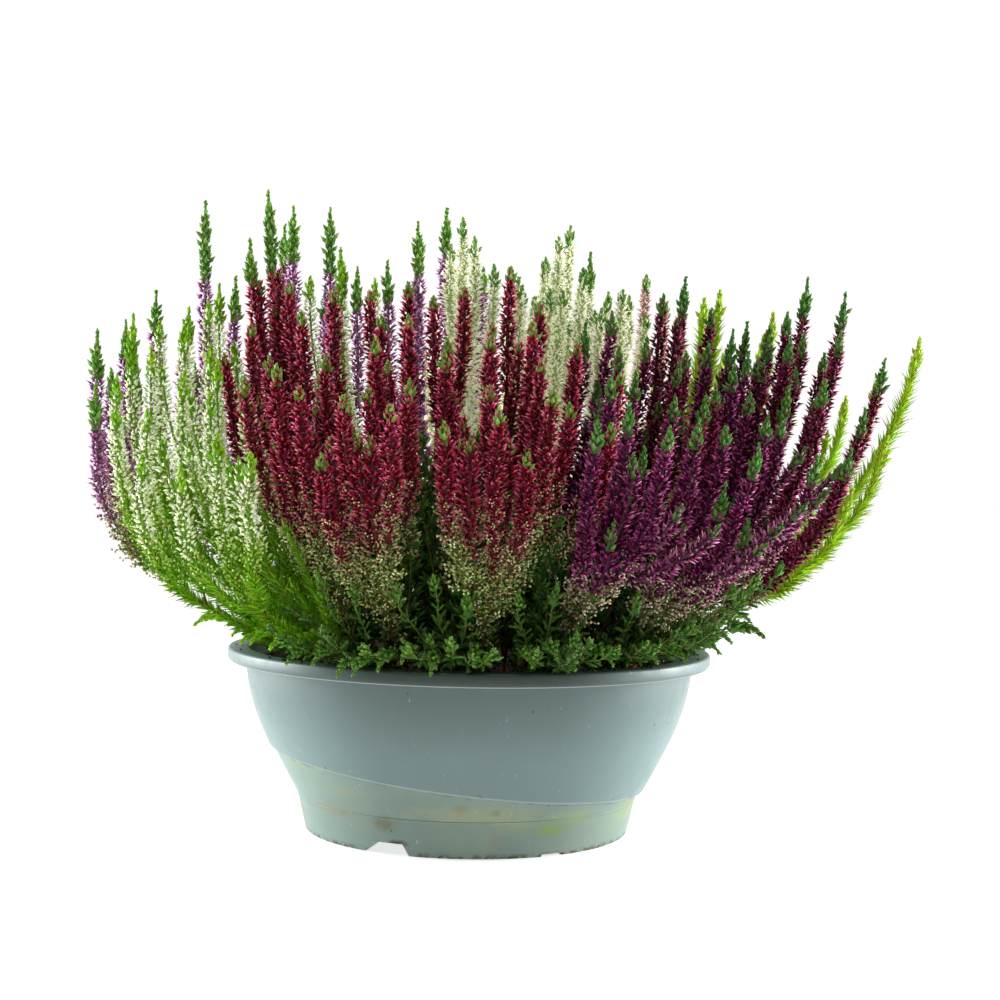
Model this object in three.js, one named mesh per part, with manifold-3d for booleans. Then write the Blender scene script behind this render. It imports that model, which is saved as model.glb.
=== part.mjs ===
// A bowl of mixed heathers: seven heathers grown together in one shallow plastic bowl, 230 mm
// across the rim. Millimetres, +Z up. The origin is on the bowl's axis, on the flat face that it
// stands on. -Y is the front, where the crimson heather leans out.
import * as THREE from "three";
import { mergeVertices } from "three/addons/utils/BufferGeometryUtils.js";
import Module from "manifold-3d";

const wasm = await Module();
wasm.setup();

// ---- Driving dimensions ------------------------------------------------------------------

const BOWL_HEIGHT = 86;
const RIM_RADIUS = 115;
const RIM_WIDTH = 10;
const RIM_BOTTOM = 80.3;
const RIM_EDGE = 2.5; // its lower edge is chamfered by this much, and its upper one by less
const WALL = 2; // thickness of the moulded plastic
const BOWL_SIDES = 40;

const FOOT_RADIUS = 77; // outside of the ring that the bowl stands on
const FOOT_HEIGHT = 17; // the steeper band above the ground
const FOOT_RING = 3.5; // width of that ring
const CENTRE_PAD_RADIUS = 52; // flat pad under the middle, level with the ring
const CHANNEL_DEPTH = 4; // drainage channel between ring and pad
const FLOOR_TOP = 6;
const DRAIN_HOLE_RADIUS = 4;

// Three deep notches let water out under the foot ring and three shallow ones let air in.
const DRAIN_NOTCH = { width: 25, height: 5.4, leftFlank: 9, rightFlank: 3 };
const DRAIN_NOTCH_DEG = -27; // turned from the front
const AIR_NOTCH = { width: 12, height: 1.2, leftFlank: 0.5, rightFlank: 0.5 };
const AIR_NOTCH_DEG = 31;

// The outside of the wall bulges from the foot band to the rim. These are the [radius, height]
// points of its curve, the second and third of which pull it outwards.
const WALL_CURVE = [[82.5, FOOT_HEIGHT], [94.5, 39], [105, 57], [106.4, 79]];
const STEP_DEPTH = 1.6; // the wall steps in below a slanting line
const STEP_HEIGHT = 30; // height of that line on the bowl's axis
const STEP_SLOPE_DEG = 6.3; // it runs down from left to right

const SOIL_TOP = 79;
const SOIL_SIDES = 20;
const SOIL_RINGS = [70, 36, 0]; // radii at which its top may lie lower
const SOIL_ROUGHNESS = 1.2;
const CLEARANCE = 0.3; // between touching pieces
const STEM_DEPTH = 10; // how far a stem stands in the soil
const STEM_RISE = 3; // it stands upright to this height over the soil, then leans out
const STEM_RADIUS = 1.5;

const RING_SPACING = 11.5; // of a shoot's rings on average: every other one is a whorl
const CROWDING = 1.3; // over 1 sets the rings closer towards the tip
const RING_TURN_DEG = 75; // from each ring to the next
const WAIST = 0.42; // the stem with its short leaves between two whorls, as a share of their reach
const LIFT = 0.8; // how far leaves and buds point up, as a share of how far they reach out
const TIP_TAPER = [0.35, 0.75]; // reach at a green tip's top and foot, as a share of the buds'
const LEADER_REACH = 7; // room that a leader keeps for its own leaves and buds
const FORK = 0.38; // where along the leader its side shoots leave it
const ROOT_SPREAD = 98; // stems root within this distance of the axis
const ROOT_SHARE = 0.62; // a root is this share of its tip's distance out, near the axis
const FULL_ARCH_AT = 170; // a shoot whose tip is this far out arches fully

// Where the two points that bend a shoot's line lie, as shares of the way across and up from
// its root to its tip: for an upright shoot, for a fully arched one, and for a fully arched one
// of a heather that sweeps, whose shoots run far out over the rim before they turn up.
const LOWER_BEND = { upright: [0.17, 0.33], arched: [0.17, 0.1], swept: [0.75, 0.2] };
const UPPER_BEND = { upright: [0.88, 0.66], arched: [0.88, 0.33], swept: [1.02, 0.3] };

// ---- The heathers ------------------------------------------------------------------------

// leaf and bud are how far the leaves and the flower buds reach out. A shoot ends in a green
// tip of its own length, or this one, over a raceme. A heather without a raceme is all leaf.
// The shoots of one that sweeps run far out before they turn up.
const HEATHERS = {
  crimson: { colour: 0xa3203f, leaf: 10.5, bud: 7, tip: 5, raceme: 112 },
  purple: { colour: 0x7c1f5c, leaf: 10.5, bud: 7, tip: 9, raceme: 112 },
  lilac: { colour: 0x9a5a9a, leaf: 10, bud: 6.5, tip: 14, raceme: 90, sweeps: true },
  white: { colour: 0xdfeab8, leaf: 10, bud: 6.5, tip: 9, raceme: 85, sweeps: true },
  cream: { colour: 0xe9edd2, leaf: 10, bud: 7, tip: 5, raceme: 95 },
  pink: { colour: 0xe3b3b4, leaf: 10, bud: 6.5, tip: 7, raceme: 60 },
  golden: { colour: 0xa9c42e, leaf: 8, bud: 7, tip: 30, raceme: 0 },
  leafy: { colour: 0x3f7a2c, leaf: 6, bud: 6, tip: 12, raceme: 0 },
};

// The planting. A spray is a leader and its side shoots. Each entry is a shoot's tip, and may
// end with the length of its green tip.
const SPRAYS = {
  crimson: [
    [[-107, 45, 310, 41], [-113, 26, 283, 20], [-92, 14, 260]],
    [[-104, -30, 236], [-118, -16, 223], [-92, -54, 220]],
    [[-80, -36, 242], [-68, -10, 254], [-66, -60, 220]],
    [[-84, -92, 214], [-100, -76, 210], [-72, -110, 204]],
    [[-52, -126, 200], [-32, -138, 196], [-61, -122, 176]],
    [[-43, -72, 228], [-30, -48, 240], [-26, -110, 208]],
    [[-52, 6, 256], [-44, -24, 242], [-34, 16, 262]],
    [[-20, -20, 252], [-6, -2, 258], [-12, -48, 230]],
    [[-12, -84, 222], [8, -108, 206], [8, -70, 230]],
    [[16, -5, 268], [30, -26, 248], [8, -38, 238]],
    [[30, -84, 218], [46, -62, 228], [26, -58, 238]],
    [[12, -136, 196], [-10, -140, 190], [34, -120, 204]],
  ],
  purple: [
    [[51, -32, 240, 15], [64, -16, 247], [66, -46, 228]],
    [[72, -68, 216], [60, -92, 212], [88, -84, 204]],
    [[94, -36, 222], [80, -26, 234], [104, -58, 206]],
    [[103, 30, 269, 17], [90, 6, 258], [114, 10, 252]],
    [[122, -10, 240, 15], [132, 14, 246, 15], [120, -34, 222]],
    [[162, 20, 269, 18], [150, 4, 250], [148, -18, 236]],
    [[178, 6, 260, 15], [172, -16, 240], [162, -34, 216]],
    [[193, -16, 227, 14], [186, -40, 200], [170, -58, 184]],
    [[144, -42, 212, 14], [132, -60, 198], [152, -74, 180]],
    [[110, -86, 192], [122, -104, 184], [96, -108, 194]],
    [[66, -118, 200], [82, -128, 190], [52, -134, 192]],
  ],
  lilac: [
    [[-141, 60, 306, 38], [-128, 80, 270, 20], [-144, 88, 256]],
    [[-97, 70, 306, 26], [-104, 90, 299, 20], [-112, 112, 258]],
    [[-77, 60, 304, 31], [-64, 78, 276, 20], [-82, 92, 268]],
    [[-32, 62, 298, 25], [-48, 72, 279, 20], [-34, 92, 272]],
    [[-18, 78, 308, 21], [-12, 104, 266], [2, 88, 278]],
    [[-184, 10, 235, 20], [-175, 32, 242], [-179, -14, 208]],
    [[-164, 52, 259, 19], [-154, 76, 246, 16], [-176, 68, 220]],
    [[-120, 130, 224, 16], [-90, 140, 228, 18], [-140, 122, 206]],
  ],
  white: [
    [[-163, -8, 242, 28], [-154, 12, 240], [-172, -32, 210]],
    [[-149, -34, 224], [-138, -12, 236], [-160, -56, 196]],
    [[-142, 22, 248, 14], [-130, 8, 250], [-130, 40, 262, 16]],
    [[-142, -76, 194], [-130, -56, 212], [-140, -96, 174]],
    [[-116, -50, 218], [-114, -78, 202], [-122, -30, 226]],
    [[-106, -108, 184], [-90, -122, 176], [-122, -104, 170]],
    [[-69, 33, 280, 21], [-52, 40, 266], [-84, 36, 266]],
  ],
  cream: [
    [[-8, 30, 296], [8, 22, 272], [-10, 50, 274]],
    [[28, 14, 256], [42, 24, 260], [22, 38, 264]],
    [[46, 50, 296], [56, 36, 281, 16], [38, 68, 274]],
    [[71, 20, 261], [76, 42, 260], [60, 4, 250]],
    [[16, 112, 256], [0, 134, 236], [-30, 132, 238], [-56, 122, 244]],
  ],
  pink: [
    [[86, 60, 273], [98, 76, 260], [68, 84, 266], [78, 104, 248]],
    [[38, 128, 240], [56, 114, 248], [42, 152, 216], [14, 154, 218]],
  ],
  golden: [
    [[122, 44, 264], [116, 62, 262], [104, 50, 256]],
    [[150, 50, 254], [148, 68, 244], [164, 66, 230]],
    [[213, 0, 239], [196, 14, 220], [186, 40, 212]],
    [[112, 108, 236], [130, 92, 236], [98, 124, 226]],
    [[142, 106, 216], [158, 88, 212], [74, 140, 218]],
  ],
  // Leafy shoots without flowers lie low round the rim.
  leafy: [
    [[-60, -112, 104], [-80, -104, 100], [-42, -124, 98]],
    [[-6, -128, 102], [-24, -126, 98], [12, -130, 98]],
    [[46, -120, 104], [30, -126, 98], [64, -112, 98]],
    [[98, -84, 106], [82, -100, 98], [112, -68, 102]],
    [[128, 29, 106], [124, 44, 102], [131, 16, 100]],
    [[72, 110, 106], [52, 120, 100], [92, 94, 104]],
    [[-30, 126, 106], [-6, 130, 100], [-52, 118, 102]],
    [[-109, 65, 104], [-99, 80, 100], [-117, 52, 100]],
  ],
};

// ---- Solids ------------------------------------------------------------------------------

// A closed geometry with its doubled points merged, which may be reshaped before it is solid.
function solidOf(geometry, reshape = (merged) => merged) {
  const bare = new THREE.BufferGeometry()
    .setAttribute("position", geometry.getAttribute("position"))
    .setIndex(geometry.getIndex());
  const merged = reshape(mergeVertices(bare, 1e-3));
  const corners = new Uint32Array(merged.index.array);
  const solid = manifoldOf(merged, corners);
  if (solid.volume() > 0) return solid;
  // Its faces point inwards, so each one is turned round.
  for (let i = 0; i < corners.length; i += 3) {
    [corners[i + 1], corners[i + 2]] = [corners[i + 2], corners[i + 1]];
  }
  return manifoldOf(merged, corners);
}

function manifoldOf(geometry, triVerts) {
  const vertProperties = geometry.attributes.position.array;
  return new wasm.Manifold(new wasm.Mesh({ numProp: 3, vertProperties, triVerts }));
}

function geometryOf(solid) {
  const mesh = solid.getMesh();
  const points = new Float32Array(mesh.numVert * 3);
  for (let i = 0; i < mesh.numVert; i++) {
    points.set(mesh.vertProperties.subarray(i * mesh.numProp, i * mesh.numProp + 3), i * 3);
  }
  return new THREE.BufferGeometry()
    .setAttribute("position", new THREE.BufferAttribute(points, 3))
    .setIndex(new THREE.BufferAttribute(new Uint32Array(mesh.triVerts), 1));
}

// A profile of [radius, height] points turned round the bowl's axis.
function lathed(profile, sides = BOWL_SIDES, reshape = undefined) {
  const points = profile.map(([r, z]) => new THREE.Vector2(r, z));
  return solidOf(new THREE.LatheGeometry(points, sides).rotateX(Math.PI / 2), reshape);
}

function named(name, geometry, colour, roughness = 0.8) {
  const material = new THREE.MeshStandardMaterial({ color: colour, roughness, metalness: 0 });
  const mesh = new THREE.Mesh(geometry, material);
  mesh.name = name;
  return mesh;
}

// The same numbers each run, from 0 to 1.
function seeded(seed) {
  let state = seed;
  return () => {
    state = (state * 1664525 + 1013904223) % 4294967296;
    return state / 4294967296;
  };
}

// ---- The bowl ----------------------------------------------------------------------------

// The bowl's wall as [radius, height] points, moved inwards by inset.
function wallCurve(inset, steps) {
  const curve = new THREE.CubicBezierCurve(...WALL_CURVE.map(([r, z]) => new THREE.Vector2(r, z)));
  return curve.getPoints(steps).map((p) => [p.x - inset, p.y]);
}

function rimProfile() {
  return [
    [RIM_RADIUS - RIM_EDGE, RIM_BOTTOM],
    [RIM_RADIUS, RIM_BOTTOM + RIM_EDGE],
    [RIM_RADIUS, BOWL_HEIGHT - 1],
    [RIM_RADIUS - 1, BOWL_HEIGHT],
  ];
}

// The whole outside with the lower wall's radius, and the wider upper wall above the slant.
function bowlOutside() {
  const recessed = lathed([
    [0, 0],
    [FOOT_RADIUS, 0],
    ...wallCurve(STEP_DEPTH, 4),
    ...rimProfile(),
    [0, BOWL_HEIGHT],
  ]);
  const wall = wallCurve(0, 4);
  const [topRadius] = wall.at(-1);
  const full = lathed([
    [0, FOOT_HEIGHT],
    ...wall,
    [topRadius, RIM_BOTTOM + RIM_EDGE],
    [0, RIM_BOTTOM + RIM_EDGE],
  ]);
  const above = new THREE.BoxGeometry(4 * RIM_RADIUS, 4 * RIM_RADIUS, 2 * BOWL_HEIGHT)
    .translate(0, 0, BOWL_HEIGHT)
    .rotateY(THREE.MathUtils.degToRad(STEP_SLOPE_DEG))
    .translate(0, 0, STEP_HEIGHT);
  return recessed.add(full.intersect(solidOf(above)));
}

function cavityProfile(gap) {
  const wall = wallCurve(STEP_DEPTH + WALL + gap, 3);
  return [[0, FLOOR_TOP + gap], [FOOT_RADIUS - WALL - gap, FLOOR_TOP + gap], ...wall];
}

// A cut through the foot ring, from its left end to its right one as seen from outside, with
// sloping flanks.
function footNotch(angleDeg, { width, height, leftFlank, rightFlank }) {
  const shape = new THREE.Shape([
    new THREE.Vector2(-width / 2, -1),
    new THREE.Vector2(width / 2, -1),
    new THREE.Vector2(width / 2 - rightFlank, height),
    new THREE.Vector2(-width / 2 + leftFlank, height),
  ]);
  const cut = new THREE.ExtrudeGeometry(shape, { depth: 3 * FOOT_RING, bevelEnabled: false })
    .rotateX(Math.PI / 2)
    .translate(0, -FOOT_RADIUS + 2 * FOOT_RING, 0)
    .rotateZ(THREE.MathUtils.degToRad(angleDeg));
  return solidOf(cut);
}

function drainHole(angleDeg) {
  const hole = new THREE.CylinderGeometry(DRAIN_HOLE_RADIUS, DRAIN_HOLE_RADIUS, 3 * FLOOR_TOP, 6)
    .rotateX(Math.PI / 2)
    .translate(0, -(CENTRE_PAD_RADIUS + FOOT_RADIUS) / 2, 0)
    .rotateZ(THREE.MathUtils.degToRad(angleDeg));
  return solidOf(hole);
}

function makeBowl() {
  const mouth = [[RIM_RADIUS - RIM_WIDTH, BOWL_HEIGHT + 1], [0, BOWL_HEIGHT + 1]];
  const channel = lathed([
    [CENTRE_PAD_RADIUS, -1],
    [FOOT_RADIUS - FOOT_RING, -1],
    [FOOT_RADIUS - FOOT_RING - 1, CHANNEL_DEPTH],
    [CENTRE_PAD_RADIUS + 2, CHANNEL_DEPTH],
    [CENTRE_PAD_RADIUS, -1],
  ], BOWL_SIDES / 2);
  let bowl = bowlOutside().subtract(lathed([...cavityProfile(0), ...mouth])).subtract(channel);
  for (let turn = 0; turn < 360; turn += 120) {
    bowl = bowl.subtract(footNotch(turn + DRAIN_NOTCH_DEG, DRAIN_NOTCH));
    bowl = bowl.subtract(footNotch(turn + AIR_NOTCH_DEG, AIR_NOTCH));
    bowl = bowl.subtract(drainHole(turn + AIR_NOTCH_DEG));
  }
  return bowl;
}

// ---- Shoots ------------------------------------------------------------------------------

// A shoot's own line: it rises from its root and, the further out its tip is, the lower it
// first runs, over the rim, before it turns up.
function ownLine([x, y, z], sweeps = false) {
  const out = Math.hypot(x, y);
  const root = out > 0 ? (ROOT_SPREAD * Math.tanh((out * ROOT_SHARE) / ROOT_SPREAD)) / out : 0;
  const arch = THREE.MathUtils.smoothstep(out, 0, FULL_ARCH_AT);
  const at = (across, up) =>
    new THREE.Vector3(
      x * (root + (1 - root) * across),
      y * (root + (1 - root) * across),
      SOIL_TOP + STEM_RISE + (z - SOIL_TOP - STEM_RISE) * up,
    );
  const bend = ({ upright, arched, swept }) => {
    const [across, up] = sweeps ? swept : arched;
    return at(
      THREE.MathUtils.lerp(upright[0], across, arch),
      THREE.MathUtils.lerp(upright[1], up, arch),
    );
  };
  return new THREE.CubicBezierCurve3(at(0, 0), bend(LOWER_BEND), bend(UPPER_BEND), at(1, 1));
}

// A side shoot starts on its leader and bends over to its own line.
class SideLine extends THREE.Curve {
  constructor(leader, tip, sweeps) {
    super();
    this.own = ownLine(tip, sweeps);
    this.away = leader.getPoint(FORK).sub(this.own.getPoint(FORK));
  }

  getPoint(t, target = new THREE.Vector3()) {
    const along = FORK + (1 - FORK) * t;
    return target.copy(this.own.getPoint(along)).addScaledVector(this.away, (1 - t) ** 2);
  }
}

// Every shoot of the bowl, with the points along it that keep the others away.
function plantedShoots() {
  const shoots = [];
  for (const [kind, sprays] of Object.entries(SPRAYS)) {
    const { sweeps } = HEATHERS[kind];
    for (const [index, tips] of sprays.entries()) {
      const spray = `${kind}_spray_${String(index + 1).padStart(2, "0")}`;
      const leader = ownLine(tips[0], sweeps);
      for (const [order, tip] of tips.entries()) {
        const line = order === 0 ? leader : new SideLine(leader, tip, sweeps);
        const rings = 2 * Math.round(line.getLength() / RING_SPACING / 2);
        const greenTip = tip[3] ?? HEATHERS[kind].tip;
        shoots.push({ kind, spray, order, line, rings, greenTip, points: line.getPoints(60) });
      }
    }
  }
  return shoots;
}

// How far a shoot may reach at a point before it meets another shoot, the rim or the soil. A
// side shoot keeps out of its own leader's leaves and buds too, so that it leaves it as a stem.
function roomAt(point, shoot, shoots) {
  let room = Infinity;
  for (const other of shoots) {
    const own = other.spray === shoot.spray;
    if (other === shoot || (own && shoot.order === 0)) continue;
    for (const p of other.points) {
      const apart = p.distanceTo(point);
      room = Math.min(room, own && other.order === 0 ? apart - LEADER_REACH : apart / 2);
    }
  }
  const out = Math.hypot(point.x, point.y);
  const toRim = Math.hypot(
    Math.max(RIM_RADIUS - RIM_WIDTH - WALL - out, 0, out - RIM_RADIUS),
    Math.max(point.z - BOWL_HEIGHT, 0),
  );
  return Math.min(room, toRim, point.z - SOIL_TOP) - 2 * CLEARANCE;
}

// How far leaves and buds reach out, by the distance from a shoot's tip.
function reachAt(shoot, fromTip) {
  const { leaf, bud, raceme } = HEATHERS[shoot.kind];
  if (fromTip < shoot.greenTip) {
    return bud * THREE.MathUtils.lerp(...TIP_TAPER, fromTip / shoot.greenTip);
  }
  if (fromTip < shoot.greenTip + raceme) {
    const along = (fromTip - shoot.greenTip) / raceme;
    return bud * THREE.MathUtils.lerp(TIP_TAPER[1], 1, Math.min(1, 3 * along));
  }
  return leaf;
}

// One shoot as a closed surface of rings with three corners. Every other ring is a whorl, whose
// corners are leaves or buds that stand out and point up. The rings between are the waists.
function shootSolid(shoot, shoots) {
  const { line, rings, order } = shoot;
  const length = line.getLength();
  const corners = order === 0 ? stemFoot(line) : [];
  for (let j = 0; j < rings; j++) {
    const fromTip = length * (1 - j / rings) ** CROWDING;
    const along = 1 - fromTip / length;
    const centre = line.getPointAt(along);
    const room = Math.max(roomAt(centre, shoot, shoots), STEM_RADIUS);
    const full = reachAt(shoot, fromTip);
    if (j === 0) {
      corners.push(...ring(line, along, j, STEM_RADIUS, 0));
    } else if (j % 2 === 0) {
      corners.push(...ring(line, along, j, Math.min(WAIST * full, room), 0));
    } else {
      const reach = Math.min(full, room);
      corners.push(...ring(line, along, j, reach, Math.min(LIFT * reach, fromTip / 3)));
    }
  }
  return solidOf(skinOver(corners, line.getPoint(1)));
}

// Three corners round a line, each turned and lifted along it.
function ring(line, along, index, reach, lift) {
  const centre = line.getPointAt(along);
  const upwards = line.getTangentAt(along);
  const across = new THREE.Vector3(-centre.y, centre.x, 0).normalize();
  const outwards = across.clone().cross(upwards).normalize();
  across.crossVectors(upwards, outwards);
  return ringAngles(index).map((angle) =>
    centre
      .clone()
      .addScaledVector(outwards, reach * Math.cos(angle))
      .addScaledVector(across, reach * Math.sin(angle))
      .addScaledVector(upwards, lift),
  );
}

function ringAngles(index) {
  return [0, 120, 240].map((side) => THREE.MathUtils.degToRad(side + RING_TURN_DEG * index));
}

// The upright end of a stem in the soil: two level rings under the first one of the shoot.
function stemFoot(line) {
  const root = line.getPoint(0);
  const heading = Math.atan2(root.y, root.x);
  return [-2, -1].flatMap((index) =>
    ringAngles(index).map(
      (angle) =>
        new THREE.Vector3(
          root.x + STEM_RADIUS * Math.cos(angle + heading),
          root.y + STEM_RADIUS * Math.sin(angle + heading),
          index === -1 ? SOIL_TOP : SOIL_TOP - STEM_DEPTH,
        ),
    ),
  );
}

// Rings of three corners, each turned a little further, joined into a closed skin.
function skinOver(corners, tip) {
  const rings = corners.length / 3;
  const index = [0, 2, 1];
  for (let ring = 0; ring + 1 < rings; ring++) {
    const a = 3 * ring;
    const b = a + 3;
    for (let k = 0; k < 3; k++) {
      const next = (k + 1) % 3;
      index.push(a + k, a + next, b + k);
      index.push(b + k, a + next, b + next);
    }
  }
  const last = 3 * (rings - 1);
  for (let k = 0; k < 3; k++) {
    index.push(last + k, last + ((k + 1) % 3), corners.length);
  }
  return new THREE.BufferGeometry().setFromPoints([...corners, tip]).setIndex(index);
}

function makeSprays(shoots) {
  const solids = new Map();
  for (const shoot of shoots) {
    const made = shootSolid(shoot, shoots);
    const before = solids.get(shoot.spray);
    solids.set(shoot.spray, before ? before.add(made) : made);
  }
  return solids;
}

// ---- The soil ----------------------------------------------------------------------------

// Soil fills the bowl, a little uneven on top, with a plain hole for each stem.
function makeSoil(shoots) {
  const outline = [...cavityProfile(CLEARANCE), ...SOIL_RINGS.map((r) => [r, SOIL_TOP])];
  let soil = lathed(outline, SOIL_SIDES, loosened);
  for (const shoot of shoots.filter(({ order }) => order === 0)) {
    const root = shoot.line.getPoint(0);
    const radius = STEM_RADIUS + 2 * CLEARANCE;
    const length = 2 * STEM_DEPTH;
    const hole = new THREE.CylinderGeometry(radius, radius, length, 5)
      .rotateX(Math.PI / 2)
      .translate(root.x, root.y, SOIL_TOP - STEM_DEPTH - CLEARANCE + length / 2);
    soil = soil.subtract(solidOf(hole));
  }
  return soil;
}

// Sinks each point of the soil's top by a chance amount.
function loosened(geometry) {
  const random = seeded(7);
  const points = geometry.attributes.position;
  for (let i = 0; i < points.count; i++) {
    if (points.getZ(i) > SOIL_TOP - 0.1) {
      points.setZ(i, SOIL_TOP - SOIL_ROUGHNESS * random());
    }
  }
  return geometry;
}

// ---- The whole ---------------------------------------------------------------------------

const shoots = plantedShoots();
const heatherBowl = new THREE.Group();
heatherBowl.add(named("pot", geometryOf(makeBowl()), 0x8fa6ac, 0.45));
heatherBowl.add(named("soil", geometryOf(makeSoil(shoots)), 0x2a1f18, 1));
for (const [name, solid] of makeSprays(shoots)) {
  const kind = name.split("_")[0];
  heatherBowl.add(named(name, geometryOf(solid), HEATHERS[kind].colour));
}

export default heatherBowl;
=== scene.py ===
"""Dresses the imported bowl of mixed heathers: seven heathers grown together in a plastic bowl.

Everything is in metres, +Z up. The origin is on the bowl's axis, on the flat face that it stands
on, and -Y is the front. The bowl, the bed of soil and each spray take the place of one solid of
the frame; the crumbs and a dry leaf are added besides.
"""

from __future__ import annotations

import logging
import math
from collections.abc import Callable
from dataclasses import dataclass, field
from enum import Enum

import bmesh
import bpy
import numpy as np
from mathutils import Matrix, Vector

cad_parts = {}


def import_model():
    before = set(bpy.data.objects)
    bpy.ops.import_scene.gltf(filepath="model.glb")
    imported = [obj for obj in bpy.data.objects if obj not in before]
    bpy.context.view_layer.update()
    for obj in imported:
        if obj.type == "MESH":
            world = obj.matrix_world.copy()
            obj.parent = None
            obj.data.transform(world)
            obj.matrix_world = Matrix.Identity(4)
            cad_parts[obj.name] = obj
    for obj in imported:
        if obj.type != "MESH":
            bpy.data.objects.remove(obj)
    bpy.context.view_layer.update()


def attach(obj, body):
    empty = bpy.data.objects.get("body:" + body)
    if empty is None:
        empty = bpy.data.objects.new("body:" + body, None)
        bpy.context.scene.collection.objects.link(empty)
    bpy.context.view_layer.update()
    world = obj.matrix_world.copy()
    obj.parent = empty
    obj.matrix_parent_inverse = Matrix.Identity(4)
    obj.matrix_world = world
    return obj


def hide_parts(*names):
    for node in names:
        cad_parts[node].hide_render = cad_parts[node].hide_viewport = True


log = logging.getLogger("heather_bowl")

Colour = tuple[float, float, float, float]
Tip = tuple[float, ...]
Bend = tuple[tuple[float, float], tuple[float, float]]
Socket = bpy.types.NodeSocket

MM = 0.001
GOLDEN_ANGLE = math.radians(137.508)

# The line that slants down across the bowl from left to right: its height on the axis and its fall.
STEP_HEIGHT = 30 * MM
STEP_SLOPE = math.tan(math.radians(6.3))

# Heights of the lower edge of the bowl's rim and of the soil.
RIM_BOTTOM = 79.7 * MM
SOIL_TOP = 79 * MM


def srgb(red: int, green: int, blue: int) -> Colour:
    """A colour given as screen values from 0 to 255.

    Args:
        red: Screen value of red.
        green: Screen value of green.
        blue: Screen value of blue.

    Returns:
        The same colour in linear values, with full alpha.
    """

    def linear(value: int) -> float:
        """One screen value as a linear one."""
        share = value / 255
        return share / 12.92 if share <= 0.04045 else ((share + 0.055) / 1.055) ** 2.4

    return (linear(red), linear(green), linear(blue), 1.0)


# ---- Work by hand -------------------------------------------------------------------------


def put_down_all() -> None:
    """Deselects everything, so that the next operator touches only what it is given."""
    if bpy.context.object and bpy.context.object.mode != "OBJECT":
        bpy.ops.object.mode_set(mode="OBJECT")
    bpy.ops.object.select_all(action="DESELECT")


def pick_up(*pieces: bpy.types.Object) -> None:
    """Selects only these pieces. The last one is the active one.

    Args:
        pieces: What the next operator works on.
    """
    put_down_all()
    for piece in pieces:
        piece.select_set(True)
    bpy.context.view_layer.objects.active = pieces[-1]


def pick_parts(piece: bpy.types.Object, mode: str, wanted: Callable[[Vector], bool]) -> None:
    """Selects, in edit mode, the vertices or the faces whose place is wanted.

    Args:
        piece: The piece that is being edited.
        mode: VERT or FACE.
        wanted: Says of a vertex's place or a face's centre whether it is selected.
    """
    bpy.ops.mesh.select_mode(type=mode)
    bpy.ops.mesh.select_all(action="DESELECT")
    shape = bmesh.from_edit_mesh(piece.data)
    for element in shape.verts if mode == "VERT" else shape.faces:
        at = element.co if mode == "VERT" else element.calc_center_median()
        element.select = bool(wanted(at))
    shape.select_flush_mode()
    bmesh.update_edit_mesh(piece.data)


def apply_modifier(piece: bpy.types.Object, kind: str, **settings: object) -> None:
    """Adds a modifier to a piece and applies it at once.

    Args:
        piece: The piece.
        kind: The modifier's type.
        settings: Its settings by name.
    """
    pick_up(piece)
    modifier = piece.modifiers.new(kind.title(), kind)
    for name, value in settings.items():
        setattr(modifier, name, value)
    bpy.ops.object.modifier_apply(modifier=modifier.name)


def settle(piece: bpy.types.Object, name: str) -> bpy.types.Object:
    """Moves a piece's place, turn and size into its mesh, and names it.

    Args:
        piece: The piece.
        name: Its name.

    Returns:
        The piece.
    """
    pick_up(piece)
    bpy.ops.object.transform_apply(location=True, rotation=True, scale=True)
    piece.name = name
    piece.data.name = name
    return piece


def turned(name: str, profile: list[tuple[float, float]], sides: int) -> bpy.types.Object:
    """Raises a round body from a disc, ring by ring, by extruding and widening it.

    Args:
        name: The body's name.
        profile: Radius and height of each ring, in order. The first and last are capped.
        sides: Number of vertices in a ring.

    Returns:
        The closed body, with its faces outward.
    """
    (radius, height), *rest = profile
    put_down_all()
    bpy.ops.mesh.primitive_circle_add(
        vertices=sides, radius=radius, fill_type="NGON", location=(0, 0, height)
    )
    body = settle(bpy.context.object, name)
    bpy.ops.object.mode_set(mode="EDIT")
    bpy.ops.mesh.select_all(action="SELECT")
    for next_radius, next_height in rest:
        bpy.ops.mesh.extrude_region_move(
            TRANSFORM_OT_translate={"value": (0, 0, next_height - height)}
        )
        share = next_radius / radius
        bpy.ops.transform.resize(value=(share, share, 1), center_override=(0, 0, 0))
        radius, height = next_radius, next_height
    bpy.ops.mesh.select_all(action="SELECT")
    bpy.ops.mesh.normals_make_consistent(inside=False)
    bpy.ops.object.mode_set(mode="OBJECT")
    return body


def arc(
    centre: tuple[float, float], radius: float, start_deg: float, end_deg: float, steps: int
) -> list[tuple[float, float]]:
    """Points of a profile's rounded corner, both ends among them.

    Args:
        centre: Radius and height of the arc's centre.
        radius: The arc's own radius.
        start_deg: Where it starts, counted from outwards towards up.
        end_deg: Where it ends.
        steps: Number of stretches.

    Returns:
        Radius and height of each point.
    """
    angles = np.radians(np.linspace(start_deg, end_deg, steps + 1))
    return [
        (centre[0] + radius * math.cos(a), centre[1] + radius * math.sin(a)) for a in angles
    ]


def wear(mesh: bpy.types.Mesh, *finishes: bpy.types.Material) -> None:
    """Gives a mesh its materials, in the order of its slots.

    Args:
        mesh: The mesh.
        finishes: The materials.
    """
    mesh.materials.clear()
    for finish in finishes:
        mesh.materials.append(finish)


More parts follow.
